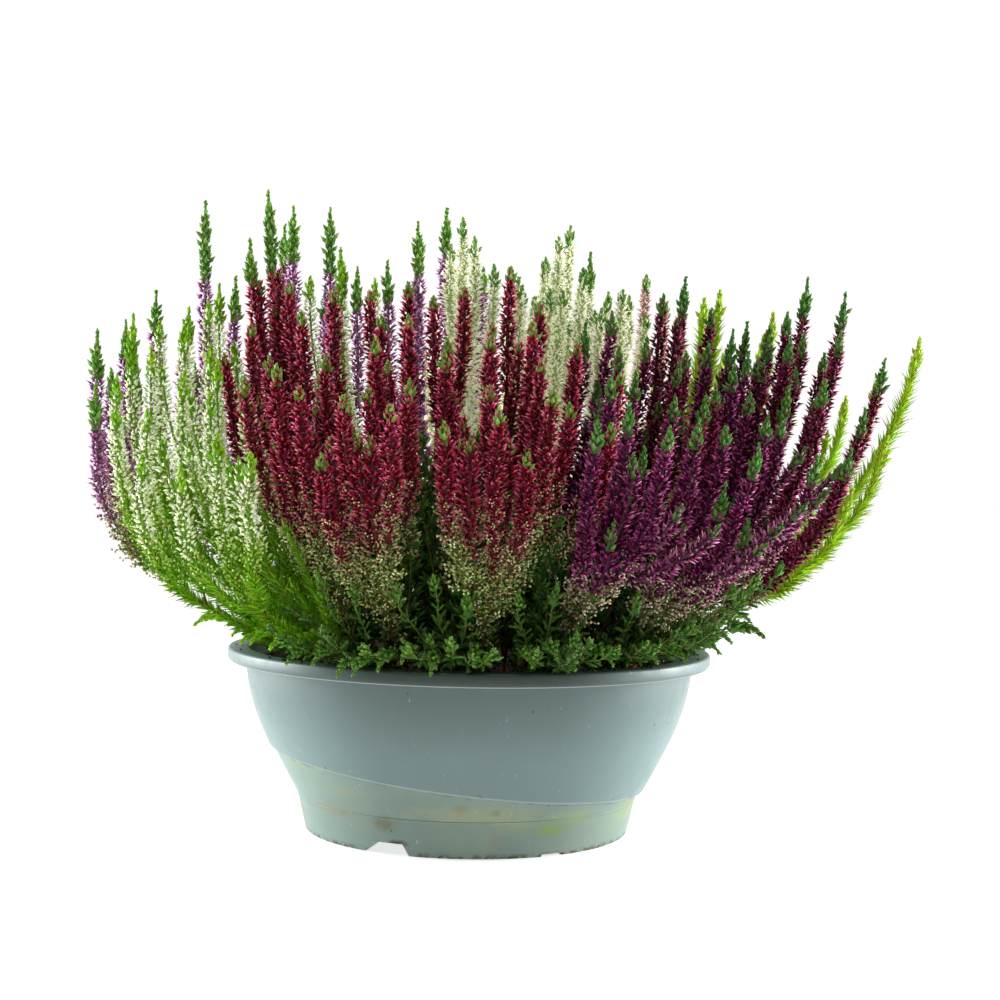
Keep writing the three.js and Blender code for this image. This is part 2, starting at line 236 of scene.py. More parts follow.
def stand_in(piece: bpy.types.Object, slot: str, *nodes: str) -> bpy.types.Object:
    """Ties a piece to the frame: it rides on the body and takes the place of these solids.

    Args:
        piece: The finished piece.
        slot: The record's material slot; not used.
        nodes: The solids it stands for.

    Returns:
        The piece.
    """
    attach(piece, "root")
    if nodes:
        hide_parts(*nodes)
    log.info("%s: %d triangles", piece.name, triangles(piece))
    return piece


def triangles(piece: bpy.types.Object) -> int:
    """Number of triangles of a piece."""
    piece.data.calc_loop_triangles()
    return len(piece.data.loop_triangles)


# ---- Finishes -----------------------------------------------------------------------------


@dataclass
class Wiring:
    """Places and joins the nodes of one node tree.

    Attributes:
        tree: The node tree.
    """

    tree: bpy.types.NodeTree

    def give(self, taker: Socket, value: object) -> None:
        """Joins an input to a socket, or sets it to a value.

        Args:
            taker: The input.
            value: The socket or the value.
        """
        if isinstance(value, Socket):
            self.tree.links.new(value, taker)
        else:
            taker.default_value = value

    def node(
        self, kind: str, inputs: dict[int | str, object] | None = None, **settings: object
    ) -> bpy.types.Node:
        """Adds a node.

        Args:
            kind: The node's type, without its ShaderNode in front.
            inputs: What its inputs get, by name or number: a socket to join or a value.
            settings: Its own settings.

        Returns:
            The node.
        """
        made = self.tree.nodes.new("ShaderNode" + kind)
        for name, value in settings.items():
            setattr(made, name, value)
        for key, value in (inputs or {}).items():
            self.give(made.inputs[key], value)
        return made

    def worn(self, name: str) -> Socket:
        """The number that each point of the mesh carries under a name."""
        return self.node("Attribute", attribute_name=name).outputs["Fac"]

    def place(self) -> Socket:
        """The place on the piece."""
        return self.node("TexCoord").outputs["Object"]

    def math(self, operation: str, a: object, b: object = 0.0) -> Socket:
        """The result of a sum, for one or two values or sockets."""
        return self.node("Math", {0: a, 1: b}, operation=operation).outputs[0]

    def plus(self, a: object, b: object) -> Socket:
        """Both together."""
        return self.math("ADD", a, b)

    def less(self, a: object, b: object) -> Socket:
        """The first without the second."""
        return self.math("SUBTRACT", a, b)

    def times(self, a: object, b: object) -> Socket:
        """One multiplied by the other."""
        return self.math("MULTIPLY", a, b)

    def most(self, a: object, b: object) -> Socket:
        """The larger of both."""
        return self.math("MAXIMUM", a, b)

    def fade(
        self, value: object, low: float, high: float, bottom: float = 0.0, top: float = 1.0
    ) -> Socket:
        """A soft step between two edges, in whichever order they lie.

        Args:
            value: The socket that is read.
            low: The edge where the result is bottom.
            high: The edge where it is top.
            bottom: Result at low and beyond it.
            top: Result at high and beyond it.

        Returns:
            The result's socket.
        """
        if low > high:
            low, high, bottom, top = high, low, top, bottom
        inputs = dict(enumerate((value, low, high, bottom, top)))
        return self.node("MapRange", inputs, interpolation_type="SMOOTHSTEP").outputs[0]

    def blend(self, share: object, a: object, b: object) -> Socket:
        """Two colours mixed, with a share from 0 to 1 of the second."""
        return self.node("Mix", {0: share, 6: a, 7: b}, data_type="RGBA").outputs[2]

    def ramp(self, value: object, stops: list[tuple[float, Colour]]) -> Socket:
        """A row of colours along a value.

        Args:
            value: The socket that is read.
            stops: Place and colour of each stop, in order, at least two.

        Returns:
            The colour's socket.
        """
        made = self.node("ValToRGB", {0: value})
        row = made.color_ramp.elements
        for place, _ in stops[2:]:
            row.new(place)
        for element, (place, colour) in zip(row, stops):
            element.position = place
            element.color = colour
        return made.outputs[0]

    def brighter(self, colour: object, factor: object) -> Socket:
        """A colour made brighter by a factor over 1, or darker by one under it."""
        return self.node("HueSaturation", {"Value": factor, "Color": colour}).outputs[0]

    def effect(self, group: bpy.types.NodeTree, **inputs: object) -> Socket:
        """The one output of a shared effect, which gets its inputs by name."""
        return self.node("Group", inputs, node_tree=group).outputs[0]

    def noise(
        self, place: object, scale: object, detail: float = 3.0, roughness: float = 0.6
    ) -> Socket:
        """Cloudy noise.

        Args:
            place: Socket with the place that it is read at.
            scale: Waves in a metre.
            detail: Number of finer layers.
            roughness: How strong the finer layers are.

        Returns:
            The noise's socket, mostly from 0.3 to 0.7.
        """
        inputs = {"Vector": place, "Scale": scale, "Detail": detail, "Roughness": roughness}
        return self.node("TexNoise", inputs).outputs["Fac"]

    def bump(self, shader: bpy.types.Node, height: Socket, depth: float, strength: float) -> None:
        """Makes a shader's surface as uneven as a height from 0 to 1 says."""
        made = self.node("Bump", {"Height": height, "Distance": depth, "Strength": strength})
        self.give(shader.inputs["Normal"], made.outputs[0])


def shared_effect(
    name: str, output: str, inputs: dict[str, float | str]
) -> tuple[bpy.types.NodeTree, Wiring, dict[str, Socket], Socket]:
    """Starts a node group with named inputs and one output.

    Args:
        name: The effect's name.
        output: Kind of its output: Color or Float.
        inputs: First value of each number among its inputs, or the kind of another one.

    Returns:
        The group, its wiring, its input sockets by name and the socket that its result goes to.
    """
    group = bpy.data.node_groups.new(name, "ShaderNodeTree")
    for key, value in inputs.items():
        kind = value if isinstance(value, str) else "Float"
        face = group.interface
        socket = face.new_socket(name=key, in_out="INPUT", socket_type=f"NodeSocket{kind}")
        if kind == "Float":
            socket.default_value = value
    group.interface.new_socket(name="Result", in_out="OUTPUT", socket_type=f"NodeSocket{output}")
    enter = group.nodes.new("NodeGroupInput")
    leave = group.nodes.new("NodeGroupOutput")
    return group, Wiring(group), {key: enter.outputs[key] for key in inputs}, leave.inputs[0]


class Effects:
    """The effects that several finishes share, each built once.

    Attributes:
        chance_tint: Makes each bud or leaf a little lighter or darker than the next.
        mottle: Cloudy light and dark over a surface.
        patch: A ragged patch round a point.
    """

    def __init__(self) -> None:
        """Builds the groups."""
        self.chance_tint = self.make_chance_tint()
        self.mottle = self.make_mottle()
        self.patch = self.make_patch()

    @staticmethod
    def make_chance_tint() -> bpy.types.NodeTree:
        """Makes the group that varies a colour's hue and brightness by a chance number.

        Returns:
            The group.
        """
        group, w, given, result = shared_effect(
            "chance_tint", "Color", {"Color": "Color", "Chance": 0.5, "Hue": 0.02, "Value": 0.3}
        )
        reshuffle = 7.31
        again = w.math("FRACT", w.times(given["Chance"], reshuffle))
        hue = w.times(w.less(again, 0.5), given["Hue"])
        value = w.times(w.times(w.less(given["Chance"], 0.5), 2.0), given["Value"])
        inputs = {"Hue": w.plus(hue, 0.5), "Value": w.plus(value, 1.0), "Color": given["Color"]}
        w.give(result, w.node("HueSaturation", inputs).outputs[0])
        return group

    @staticmethod
    def make_mottle() -> bpy.types.NodeTree:
        """Makes the group that gives a brightness from low to high in soft clouds.

        Returns:
            The group.
        """
        group, w, given, result = shared_effect(
            "mottle", "Float", {"Vector": "Vector", "Scale": 100.0, "Low": 0.9, "High": 1.1}
        )
        cloud = w.noise(given["Vector"], given["Scale"], 4.0)
        inputs = {0: cloud, 1: 0.32, 2: 0.68, 3: given["Low"], 4: given["High"]}
        w.give(result, w.node("MapRange", inputs).outputs[0])
        return group

    @staticmethod
    def make_patch() -> bpy.types.NodeTree:
        """Makes the group that gives 1 inside a ragged patch and 0 outside it.

        Returns:
            The group.
        """
        inputs = {"Vector": "Vector", "Centre": "Vector", "Size": "Vector", "Ragged": 0.5}
        group, w, given, result = shared_effect("patch", "Float", inputs)
        away = w.node("VectorMath", {0: given["Vector"], 1: given["Centre"]}, operation="SUBTRACT")
        within = w.node("VectorMath", {0: away.outputs[0], 1: given["Size"]}, operation="DIVIDE")
        far = w.node("VectorMath", {0: within.outputs[0]}, operation="LENGTH").outputs["Value"]
        cloud = w.less(w.noise(given["Vector"], 260.0, 4.0, 0.65), 0.5)
        ragged = w.times(w.times(cloud, 4.0), given["Ragged"])
        w.give(result, w.fade(w.plus(far, ragged), 1.25, 0.1))
        return group

    def mottled(self, w: Wiring, place: Socket, scale: float, low: float, high: float) -> Socket:
        """A number from low to high, in soft clouds with scale waves in a metre."""
        return w.effect(self.mottle, Vector=place, Scale=scale, Low=low, High=high)

    def tint(
        self,
        w: Wiring,
        shader: bpy.types.Node,
        colour: Socket,
        swings: tuple[float, float],
        painted_glow: float,
    ) -> None:
        """Gives a shader its colour, on each bud or leaf a little otherwise than on the next.

        Args:
            w: The material's wiring.
            shader: The shader.
            colour: The colour.
            swings: How far hue and brightness vary.
            painted_glow: How much of the colour shines by itself, as painted light.
        """
        hue, value = swings
        tinted = w.effect(
            self.chance_tint, Color=colour, Chance=w.worn("chance"), Hue=hue, Value=value
        )
        w.give(shader.inputs["Base Color"], tinted)
        # Painted light: the colour also shines by itself, in place of light coming through from
        # behind.
        if painted_glow:
            w.give(shader.inputs["Emission Color"], tinted)
            shader.inputs["Emission Strength"].default_value = painted_glow


def new_surface(
    name: str, roughness: float, **fixed: object
) -> tuple[bpy.types.Material, Wiring, bpy.types.Node]:
    """Starts a material with its shader.

    Args:
        name: The material's name.
        roughness: Its roughness, where nothing is joined to it.
        fixed: Other inputs of the shader that are the same all over, with _ for spaces.

    Returns:
        The material, its wiring and the shader node.
    """
    material = bpy.data.materials.new(name)
    material.use_nodes = True
    shader = material.node_tree.nodes["Principled BSDF"]
    shader.inputs["Roughness"].default_value = roughness
    for key, value in fixed.items():
        shader.inputs[key.replace("_", " ")].default_value = value
    return material, Wiring(material.node_tree), shader


@dataclass(frozen=True)
class BudFinish:
    """Flower buds: darker at the foot and pale at the point, and paler down the spike.

    Attributes:
        name: The material's name.
        foot: Colour where the bud leaves the stem, worn also by the dark tube inside the spike,
            which is painted shade.
        body: Colour of most of a ripe bud.
        point: Colour of its point.
        blush: Body of the buds where the spike starts to fade.
        faded: Body of the lowest buds.
        faded_point: Point of the lowest buds.
        value_swing: How much lighter or darker one bud is than the next.
        painted_glow: Emission painted on, standing in for light that comes through its thin petals
            from behind.
        turns: How far up the bud its foot turns into its body, and that into its point.
    """

    name: str
    foot: Colour
    body: Colour
    point: Colour
    blush: Colour
    faded: Colour
    faded_point: Colour
    value_swing: float = 0.35
    painted_glow: float = 0.0
    turns: tuple[float, ...] = (0.0, 0.34, 0.42, 0.84)

    def material(self, effects: Effects) -> bpy.types.Material:
        """The buds' material.

        Args:
            effects: The shared effects.

        Returns:
            The material.
        """
        material, w, shader = new_surface(self.name, 0.55, Specular_IOR_Level=0.18)
        age, rise = w.worn("age"), w.worn("rise")
        body = w.ramp(age, [(0.0, self.body), (0.26, self.blush), (0.55, self.faded)])
        point = w.blend(w.fade(age, 0.0, 0.5), self.point, self.faded_point)
        lower = w.blend(w.fade(rise, self.turns[0], self.turns[1]), self.foot, body)
        tip = w.fade(rise, self.turns[2], self.turns[3])
        pointed = w.times(tip, w.fade(w.worn("chance"), 0.25, 0.9, 0.12, 1.0))
        whole = w.blend(pointed, lower, point)
        effects.tint(w, shader, whole, (0.018, self.value_swing), self.painted_glow)
        return material


@dataclass(frozen=True)
class LeafFinish:
    """Scale leaves: lighter at their tips, on young shoots and high on the plant, and darker on
    filler shoots as painted shade.

    Attributes:
        name: The material's name.
        young: Colour near a shoot's tip.
        old: Colour low down.
        point: Colour of the leaf tips.
        painted_glow: Emission painted on, standing in for light that comes through the leaves from
            behind.
    """

    name: str
    young: Colour
    old: Colour
    point: Colour
    painted_glow: float = 0.0

    def material(self, effects: Effects) -> bpy.types.Material:
        """The leaves' material.

        Args:
            effects: The shared effects.

        Returns:
            The material.
        """
        material, w, shader = new_surface(self.name, 0.6, Specular_IOR_Level=0.2)
        body = w.blend(w.worn("age"), self.young, self.old)
        whole = w.blend(w.fade(w.worn("rise"), 0.5, 1.0, 0.0, 0.55), body, self.point)
        effects.tint(w, shader, whole, (0.04, 0.32), self.painted_glow)
        return material


@dataclass(frozen=True)
class StemFinish:
    """Woody stems that turn green towards their tips.

    Attributes:
        name: The material's name.
        wood: Colour low down.
        green: Colour near the tip.
    """

    name: str
    wood: Colour
    green: Colour

    def material(self, effects: Effects) -> bpy.types.Material:
        """The stems' material.

        Args:
            effects: The shared effects.

        Returns:
            The material.
        """
        material, w, shader = new_surface(self.name, 0.7)
        cloud = effects.mottled(w, w.place(), 420.0, 0.7, 1.25)
        body = w.blend(w.fade(w.worn("age"), 0.25, 0.75), self.green, self.wood)
        w.give(shader.inputs["Base Color"], w.brighter(body, cloud))
        w.bump(shader, cloud, 0.15 * MM, 0.6)
        return material


@dataclass(frozen=True)
class SoilFinish:
    """Damp peat, or dry leaf in other colours.

    Attributes:
        name: The material's name.
        dark: Colour of most of it.
        light: Colour of its drier parts.
    """

    name: str = "peat"
    dark: Colour = srgb(30, 22, 16)
    light: Colour = srgb(72, 54, 38)

    def material(self, effects: Effects) -> bpy.types.Material:
        """The soil's material.

        Args:
            effects: The shared effects.

        Returns:
            The material.
        """
        material, w, shader = new_surface(self.name, 0.95)
        cloud = effects.mottled(w, w.place(), 300.0, 0.0, 1.0)
        w.give(shader.inputs["Base Color"], w.blend(cloud, self.dark, self.light))
        w.bump(shader, cloud, 0.8 * MM, 0.8)
        return material


@dataclass(frozen=True)
class Mark:
    """A stain on the bowl.

    Attributes:
        place: Its centre.
        size: Half its extent along each axis.
        colour: Its colour.
        strength: How strongly it covers. At 1 it hides four fifths of the plastic.
    """

    place: tuple[float, float, float]
    size: tuple[float, float, float]
    colour: Colour
    strength: float


@dataclass(frozen=True)
class Spot:
    """Where on the bowl a point of its surface lies, as sockets.

    Attributes:
        place: Its place.
        across: Its distance to the right of the axis.
        height: Its height above the ground.
        over: Its height above the slanting line.
    """

    place: Socket
    across: Socket
    height: Socket
    over: Socket


@dataclass(frozen=True)
class BowlFinish:
    """Moulded plastic that has stood in a nursery: splashed, scuffed and stained low down, and
    with light and shade painted on.

    Attributes:
        upper: Colour above the slanting line.
        lower: Colour below it.
        rim: Colour of the rim, which is thicker; its darkness is painted shade, strongest at the
            front and gone towards the sides, where the rim takes the upper colour.
        film: Colour of the haze below the slanting line.
        dirt: Colour of the soil along the foot and of the specks, and of the painted shade under
            the two ledges.
        scratch: Colour of the scratches.
        edge: Colour of the painted highlights along the rim's lower edge and the slanting line.
        marks: The stains.
    """

    upper: Colour = srgb(104, 126, 125)
    lower: Colour = srgb(111, 134, 126)
    rim: Colour = srgb(42, 60, 52)
    film: Colour = srgb(146, 154, 124)
    dirt: Colour = srgb(74, 58, 38)
    scratch: Colour = srgb(205, 214, 212)
    edge: Colour = srgb(206, 216, 212)
    marks: tuple[Mark, ...] = (
        Mark((-0.0350, -0.0725, 0.0140), (0.0065, 0.02, 0.0042), srgb(102, 96, 58), 0.85),
        Mark((-0.060, -0.056, 0.0170), (0.0170, 0.03, 0.0046), srgb(130, 128, 100), 0.55),
        Mark((-0.0292, -0.0730, 0.0056), (0.0050, 0.01, 0.0018), srgb(44, 24, 12), 1.2),
        Mark((-0.001, -0.083, 0.0235), (0.0040, 0.02, 0.0030), srgb(122, 106, 66), 0.65),
        Mark((0.014, -0.082, 0.0215), (0.0030, 0.02, 0.0020), srgb(84, 74, 52), 0.75),
        Mark((-0.070, -0.045, 0.0370), (0.0200, 0.03, 0.0030), srgb(150, 152, 118), 0.55),
        Mark((-0.052, -0.062, 0.0270), (0.0260, 0.03, 0.0035), srgb(140, 144, 112), 0.40),
        Mark((0.006, -0.080, 0.0205), (0.0400, 0.03, 0.0045), srgb(150, 150, 104), 0.55),
        Mark((0.038, -0.069, 0.0125), (0.0110, 0.02, 0.0032), srgb(118, 146, 52), 0.95),
        Mark((0.047, -0.064, 0.0175), (0.0130, 0.02, 0.0036), srgb(134, 158, 84), 0.60),
        Mark((0.024, -0.076, 0.0160), (0.0160, 0.02, 0.0040), srgb(146, 156, 100), 0.50),
        Mark((0.076, -0.030, 0.0150), (0.0160, 0.02, 0.0070), srgb(150, 162, 92), 0.55),
        Mark((0.014, -0.077, 0.0080), (0.0040, 0.02, 0.0040), srgb(140, 122, 108), 0.45),
        Mark((-0.079, -0.015, 0.0080), (0.0080, 0.02, 0.0090), srgb(128, 108, 72), 0.70),
    )

    def material(self, effects: Effects) -> bpy.types.Material:
        """The bowl's material.

        Args:
            effects: The shared effects.

        Returns:
            The material.
        """
        material, w, shader = new_surface("bowl_plastic", 0.4, Specular_IOR_Level=0.5)
        place = w.place()
        axes = w.node("SeparateXYZ", {0: place}).outputs
        over = w.less(w.plus(axes[2], w.times(axes[0], STEP_SLOPE)), STEP_HEIGHT)
        at = Spot(place, axes[0], axes[2], over)
        # Painted highlights: pale lines along the rim's lower edge and the crest of the slanting
        # line.
        body = w.blend(self.painted_edge_highlights(w, at), self.plastic(w, effects, at), self.edge)
        body = w.blend(w.times(self.scratches(w, place), 0.45), body, self.scratch)
        for stain in self.marks:
            mask = w.effect(effects.patch, Vector=place, Centre=stain.place, Size=stain.size)
            body = w.blend(w.times(mask, 0.8 * stain.strength), body, stain.colour)
        # Soil along the ground and in specks, and painted shade under the two ledges, in the dirt
        # colour.
        dirt_and_shade = self.dirt_and_shade(w, at)
        w.give(shader.inputs["Base Color"], w.blend(dirt_and_shade, body, self.dirt))
        rough = effects.mottled(w, place, 90.0, 0.34, 0.5)
        w.give(shader.inputs["Roughness"], w.plus(rough, w.times(dirt_and_shade, 0.4)))
        grain, swell = w.noise(place, 1500.0, 2.0), w.noise(place, 35.0, 1.0)
        w.bump(shader, w.plus(grain, w.times(swell, 6.0)), 0.05 * MM, 0.5)
        return material

    def plastic(self, w: Wiring, effects: Effects, at: Spot) -> Socket:
        """The plastic's colour, hazy below, with painted light and shade: lighter to the sides,
        darker up to the rim, and dark on the rim's front.

        Args:
            w: The material's wiring.
            effects: The shared effects.
            at: Where on the bowl.

        Returns:
            The colour's socket.
        """
        below = w.fade(at.over, 0.5 * MM, -0.5 * MM)
        cloud = effects.mottled(w, at.place, 22.0, 0.95, 1.06)
        body = w.brighter(w.blend(below, self.upper, self.lower), cloud)
        # Painted shade: the wall is made darker up towards the rim, where the rim's shadow falls.
        body = w.brighter(body, w.fade(at.height, 40 * MM, 79 * MM, 1.0, 0.66))
        # Painted light: the wall is made up to 38 % lighter towards the left and right sides, where
        # the side lamps light it.
        aside = w.fade(w.math("ABSOLUTE", at.across), 36 * MM, 106 * MM)
        body = w.brighter(body, w.plus(w.times(aside, 0.38), 1.0))
        # Painted shade: the rim is dark at the front, under the plants, and turns into the upper
        # colour towards the sides.
        rim = w.blend(aside, self.rim, self.upper)
        on_rim = w.fade(at.height, RIM_BOTTOM - 0.2 * MM, RIM_BOTTOM + 0.2 * MM)
        body = w.blend(on_rim, body, rim)
        film = effects.mottled(w, at.place, 45.0, 0.0, 0.3)
        film = w.times(film, w.fade(at.across, -60 * MM, 10 * MM, 0.4, 1.1))
        return w.blend(w.times(film, below), body, self.film)

    @staticmethod
    def painted_edge_highlights(w: Wiring, at: Spot) -> Socket:
        """Painted highlights along the rim's lower edge and on the crest of the slanting line.

        Args:
            w: The material's wiring.
            at: Where on the bowl.

        Returns:
            The mask's socket.
        """
        from_below = w.fade(at.height, RIM_BOTTOM - 0.1 * MM, RIM_BOTTOM + 0.1 * MM)
        from_above = w.fade(at.height, RIM_BOTTOM + 0.7 * MM, RIM_BOTTOM + 0.4 * MM)
        crest = w.fade(w.math("ABSOLUTE", w.less(at.over, 0.1 * MM)), 0.6 * MM, 0.2 * MM)
        return w.most(w.times(w.times(from_below, from_above), 0.42), w.times(crest, 0.2))

    @staticmethod
    def dirt_and_shade(w: Wiring, at: Spot) -> Socket:
        """Where soil sticks, along the ground and in specks, and where shade is painted, just under
        the two ledges.

        Args:
            w: The material's wiring.
            at: Where on the bowl.

        Returns:
            The mask's socket.
        """
        splashes = w.fade(w.noise(at.place, 330.0, 5.0, 0.7), 0.42, 0.6)
        ground = w.times(w.fade(at.height, 3.2 * MM, 0.2 * MM), splashes)
        # Painted shade: a patchy dark band just under the ledge of the slanting line.
        under = w.times(w.fade(at.over, -2.2 * MM, -1.0 * MM), w.fade(at.over, 0.0, -0.8 * MM))
        ledge = w.times(under, w.fade(w.noise(at.place, 120.0, 3.0), 0.5, 0.68, 0.0, 0.4))
        # Painted shade: a dark line along the top of the foot band, where the wall starts above it.
        foot = w.fade(w.math("ABSOLUTE", w.less(at.height, 16 * MM)), 0.9 * MM, 0.1 * MM)
        foot = w.times(foot, w.fade(w.noise(at.place, 60.0, 2.0), 0.4, 0.65, 0.02, 0.12))
        cells = w.node("TexVoronoi", {"Vector": at.place, "Scale": 130.0}).outputs
        few = w.fade(w.node("SeparateColor", {0: cells["Color"]}).outputs[0], 0.72, 0.74)
        speck = w.times(w.fade(cells["Distance"], 0.11, 0.05), few)
        return w.most(w.most(w.most(ground, ledge), foot), w.times(speck, 0.75))

    @staticmethod
    def scratches(w: Wiring, place: Socket) -> Socket:
        """Fine upright scratches.

        Args:
            w: The material's wiring.
            place: Socket with the place on the bowl.

        Returns:
            The mask's socket.
        """
        drawn = w.node("Mapping", {"Vector": place, "Scale": (1.0, 1.0, 0.07)})
        lines = w.fade(w.noise(drawn.outputs[0], 900.0, 2.0, 0.5), 0.69, 0.74)
        return w.times(lines, w.fade(w.noise(place, 70.0, 2.0), 0.5, 0.62))


# ---- The heathers -------------------------------------------------------------------------


class Heather(Enum):
    """The heathers in the bowl, by the names that their solids bear."""

    CRIMSON = "crimson"
    PURPLE = "purple"
    LILAC = "lilac"
    WHITE = "white"
    CREAM = "cream"
    PINK = "pink"
    GOLDEN = "golden"
    LEAFY = "leafy"


class Part(Enum):
    """What a face of a shoot belongs to. The value is its material slot."""

    BUD = 0
    LEAF = 1
    STEM = 2


# The planting, in millimetres. A spray is a leader and its side shoots. Each entry is a shoot's
# tip, and may end with the length of its green tip.
SPRAYS: dict[Heather, list[list[Tip]]] = {
    Heather.CRIMSON: [
        [(-107, 45, 310, 41), (-113, 26, 283, 20), (-92, 14, 260)],
        [(-104, -30, 236), (-118, -16, 223), (-92, -54, 220)],
        [(-80, -36, 242), (-68, -10, 254), (-66, -60, 220)],
        [(-84, -92, 214), (-100, -76, 210), (-72, -110, 204)],
        [(-52, -126, 200), (-32, -138, 196), (-61, -122, 176)],
        [(-43, -72, 228), (-30, -48, 240), (-26, -110, 208)],
        [(-52, 6, 256), (-44, -24, 242), (-34, 16, 262)],
        [(-20, -20, 252), (-6, -2, 258), (-12, -48, 230)],
        [(-12, -84, 222), (8, -108, 206), (8, -70, 230)],
        [(16, -5, 268), (30, -26, 248), (8, -38, 238)],
        [(30, -84, 218), (46, -62, 228), (26, -58, 238)],
        [(12, -136, 196), (-10, -140, 190), (34, -120, 204)],
    ],
    Heather.PURPLE: [
        [(51, -32, 240, 15), (64, -16, 247), (66, -46, 228)],
        [(72, -68, 216), (60, -92, 212), (88, -84, 204)],
        [(94, -36, 222), (80, -26, 234), (104, -58, 206)],
        [(103, 30, 269, 17), (90, 6, 258), (114, 10, 252)],
        [(122, -10, 240, 15), (132, 14, 246, 15), (120, -34, 222)],
        [(162, 20, 269, 18), (150, 4, 250), (148, -18, 236)],
        [(178, 6, 260, 15), (172, -16, 240), (162, -34, 216)],
        [(193, -16, 227, 14), (180, -38, 203), (170, -58, 184)],
        [(144, -42, 212, 14), (132, -60, 198), (152, -74, 180)],
        [(110, -86, 192), (122, -104, 184), (96, -108, 194)],
        [(66, -118, 200), (82, -128, 190), (52, -134, 192)],
    ],
    Heather.LILAC: [
        [(-141, 60, 306, 38), (-128, 80, 270, 20), (-144, 88, 256)],
        [(-97, 70, 306, 26), (-104, 90, 299, 20), (-112, 112, 258)],
        [(-77, 60, 304, 31), (-64, 78, 276, 20), (-82, 92, 268)],
        [(-32, 62, 298, 25), (-48, 72, 279, 20), (-34, 92, 272)],
        [(-18, 78, 308, 21), (-12, 104, 266), (2, 88, 278)],
        [(-184, 10, 235, 20), (-175, 32, 242), (-179, -14, 208)],
        [(-164, 52, 259, 19), (-154, 76, 246, 16), (-176, 68, 220)],
        [(-120, 130, 224, 16), (-90, 140, 228, 18), (-140, 122, 206)],
    ],
    Heather.WHITE: [
        [(-163, -8, 242, 28), (-154, 12, 240), (-165, -32, 211)],
        [(-149, -34, 224), (-138, -12, 236), (-160, -56, 196)],
        [(-142, 22, 248, 14), (-130, 8, 250), (-130, 40, 262, 16)],
        [(-142, -76, 194), (-130, -56, 212), (-140, -96, 174)],
        [(-116, -50, 218), (-114, -78, 202), (-122, -30, 226)],
        [(-106, -108, 184), (-90, -122, 176), (-122, -104, 170)],
        [(-69, 33, 280, 21), (-52, 40, 266), (-84, 36, 266)],
    ],
    Heather.CREAM: [
        [(-8, 30, 296), (8, 22, 272), (-10, 50, 274)],
        [(28, 14, 256), (42, 24, 260), (22, 38, 264)],
        [(46, 50, 296), (56, 36, 281, 16), (38, 68, 274)],
        [(71, 20, 261), (76, 42, 260), (60, 4, 250)],
        [(16, 112, 256), (0, 134, 236), (-30, 132, 238), (-56, 122, 244)],
    ],
    Heather.PINK: [
        [(86, 60, 273), (98, 76, 260), (68, 84, 266), (78, 104, 248)],
        [(38, 128, 240), (56, 114, 248), (42, 152, 216), (14, 154, 218)],
    ],
    Heather.GOLDEN: [
        [(122, 44, 264), (116, 62, 262), (104, 50, 256)],
        [(150, 50, 254), (148, 68, 244), (164, 66, 230)],
        [(213, 0, 239), (196, 14, 220), (186, 40, 212)],
        [(112, 108, 236), (130, 92, 236), (98, 124, 226)],
        [(142, 106, 216), (158, 88, 212), (74, 140, 218)],
    ],
    Heather.LEAFY: [
        [(-60, -112, 104), (-80, -104, 100), (-42, -124, 98)],
        [(-6, -128, 102), (-24, -126, 98), (12, -130, 98)],
        [(46, -120, 104), (30, -126, 98), (64, -112, 98)],
        [(98, -84, 106), (82, -100, 98), (112, -68, 102)],
        [(128, 29, 106), (124, 44, 102), (131, 16, 100)],
        [(72, 110, 106), (52, 120, 100), (92, 94, 104)],
        [(-30, 126, 106), (-6, 130, 100), (-52, 118, 102)],
        [(-109, 65, 104), (-99, 80, 100), (-117, 52, 100)],
    ],
}


# Further shoots, which the solids don't have, by the spray they belong to.
LOW_TIPS: dict[str, list[Tip]] = {
    "cream_spray_01": [(-2, 22, 286), (-14, 36, 282)],
    "cream_spray_02": [(20, 20, 266), (36, 34, 262)],
    "cream_spray_03": [(40, 38, 288), (52, 28, 272), (34, 54, 280)],
    "cream_spray_04": [(64, 34, 256), (58, 18, 250), (84, 34, 250)],
    "crimson_spray_06": [(-44, -98, 204), (-38, -64, 218)],
    "crimson_spray_11": [(60, -98, 192), (64, -84, 214)],
    "crimson_spray_12": [(42, -98, 200), (24, -128, 178)],
    "golden_spray_03": [(190, -40, 190), (172, -52, 166)],
    "leafy_spray_01": [(-64, -96, 126), (-48, -106, 121), (-84, -84, 122)],
    "leafy_spray_02": [
        (-14, -108, 126), (0, -112, 119), (-30, -108, 122), (-2, -64, 130), (8, -50, 132),
        (20, -54, 130), (-18, -42, 150), (-8, -34, 158),
    ],
    "leafy_spray_03": [
        (38, -104, 124), (56, -96, 121), (22, -108, 119), (30, -62, 130), (42, -46, 132),
        (44, -30, 152),
    ],
    "leafy_spray_04": [
        (90, -76, 122), (104, -62, 117), (74, -88, 120), (128, -70, 128), (140, -56, 132),
        (116, -82, 124), (108, -50, 134), (122, -40, 130), (124, -60, 120),
    ],
    "lilac_spray_06": [(-176, 6, 216, 10), (-170, 20, 198, 8), (-167, -8, 190, 6)],
    "purple_spray_02": [(74, -100, 182), (98, -74, 190)],
    "purple_spray_03": [(98, -30, 228, 6), (110, -50, 210, 6)],
    "purple_spray_05": [(128, -22, 229, 10), (140, -4, 238, 8), (110, -14, 233, 8)],
    "purple_spray_06": [(142, 8, 244, 8), (134, -8, 226, 6), (152, -10, 222, 6)],
    "purple_spray_07": [(160, -22, 208, 6), (166, -8, 230, 7), (158, 4, 240, 8)],
    "purple_spray_09": [(126, -46, 208, 6), (140, -52, 196, 6)],
    "purple_spray_10": [(92, -95, 159, 12), (110, -90, 167, 12), (121, -85, 152, 12)],
    "purple_spray_11": [(56, -86, 202)],
}


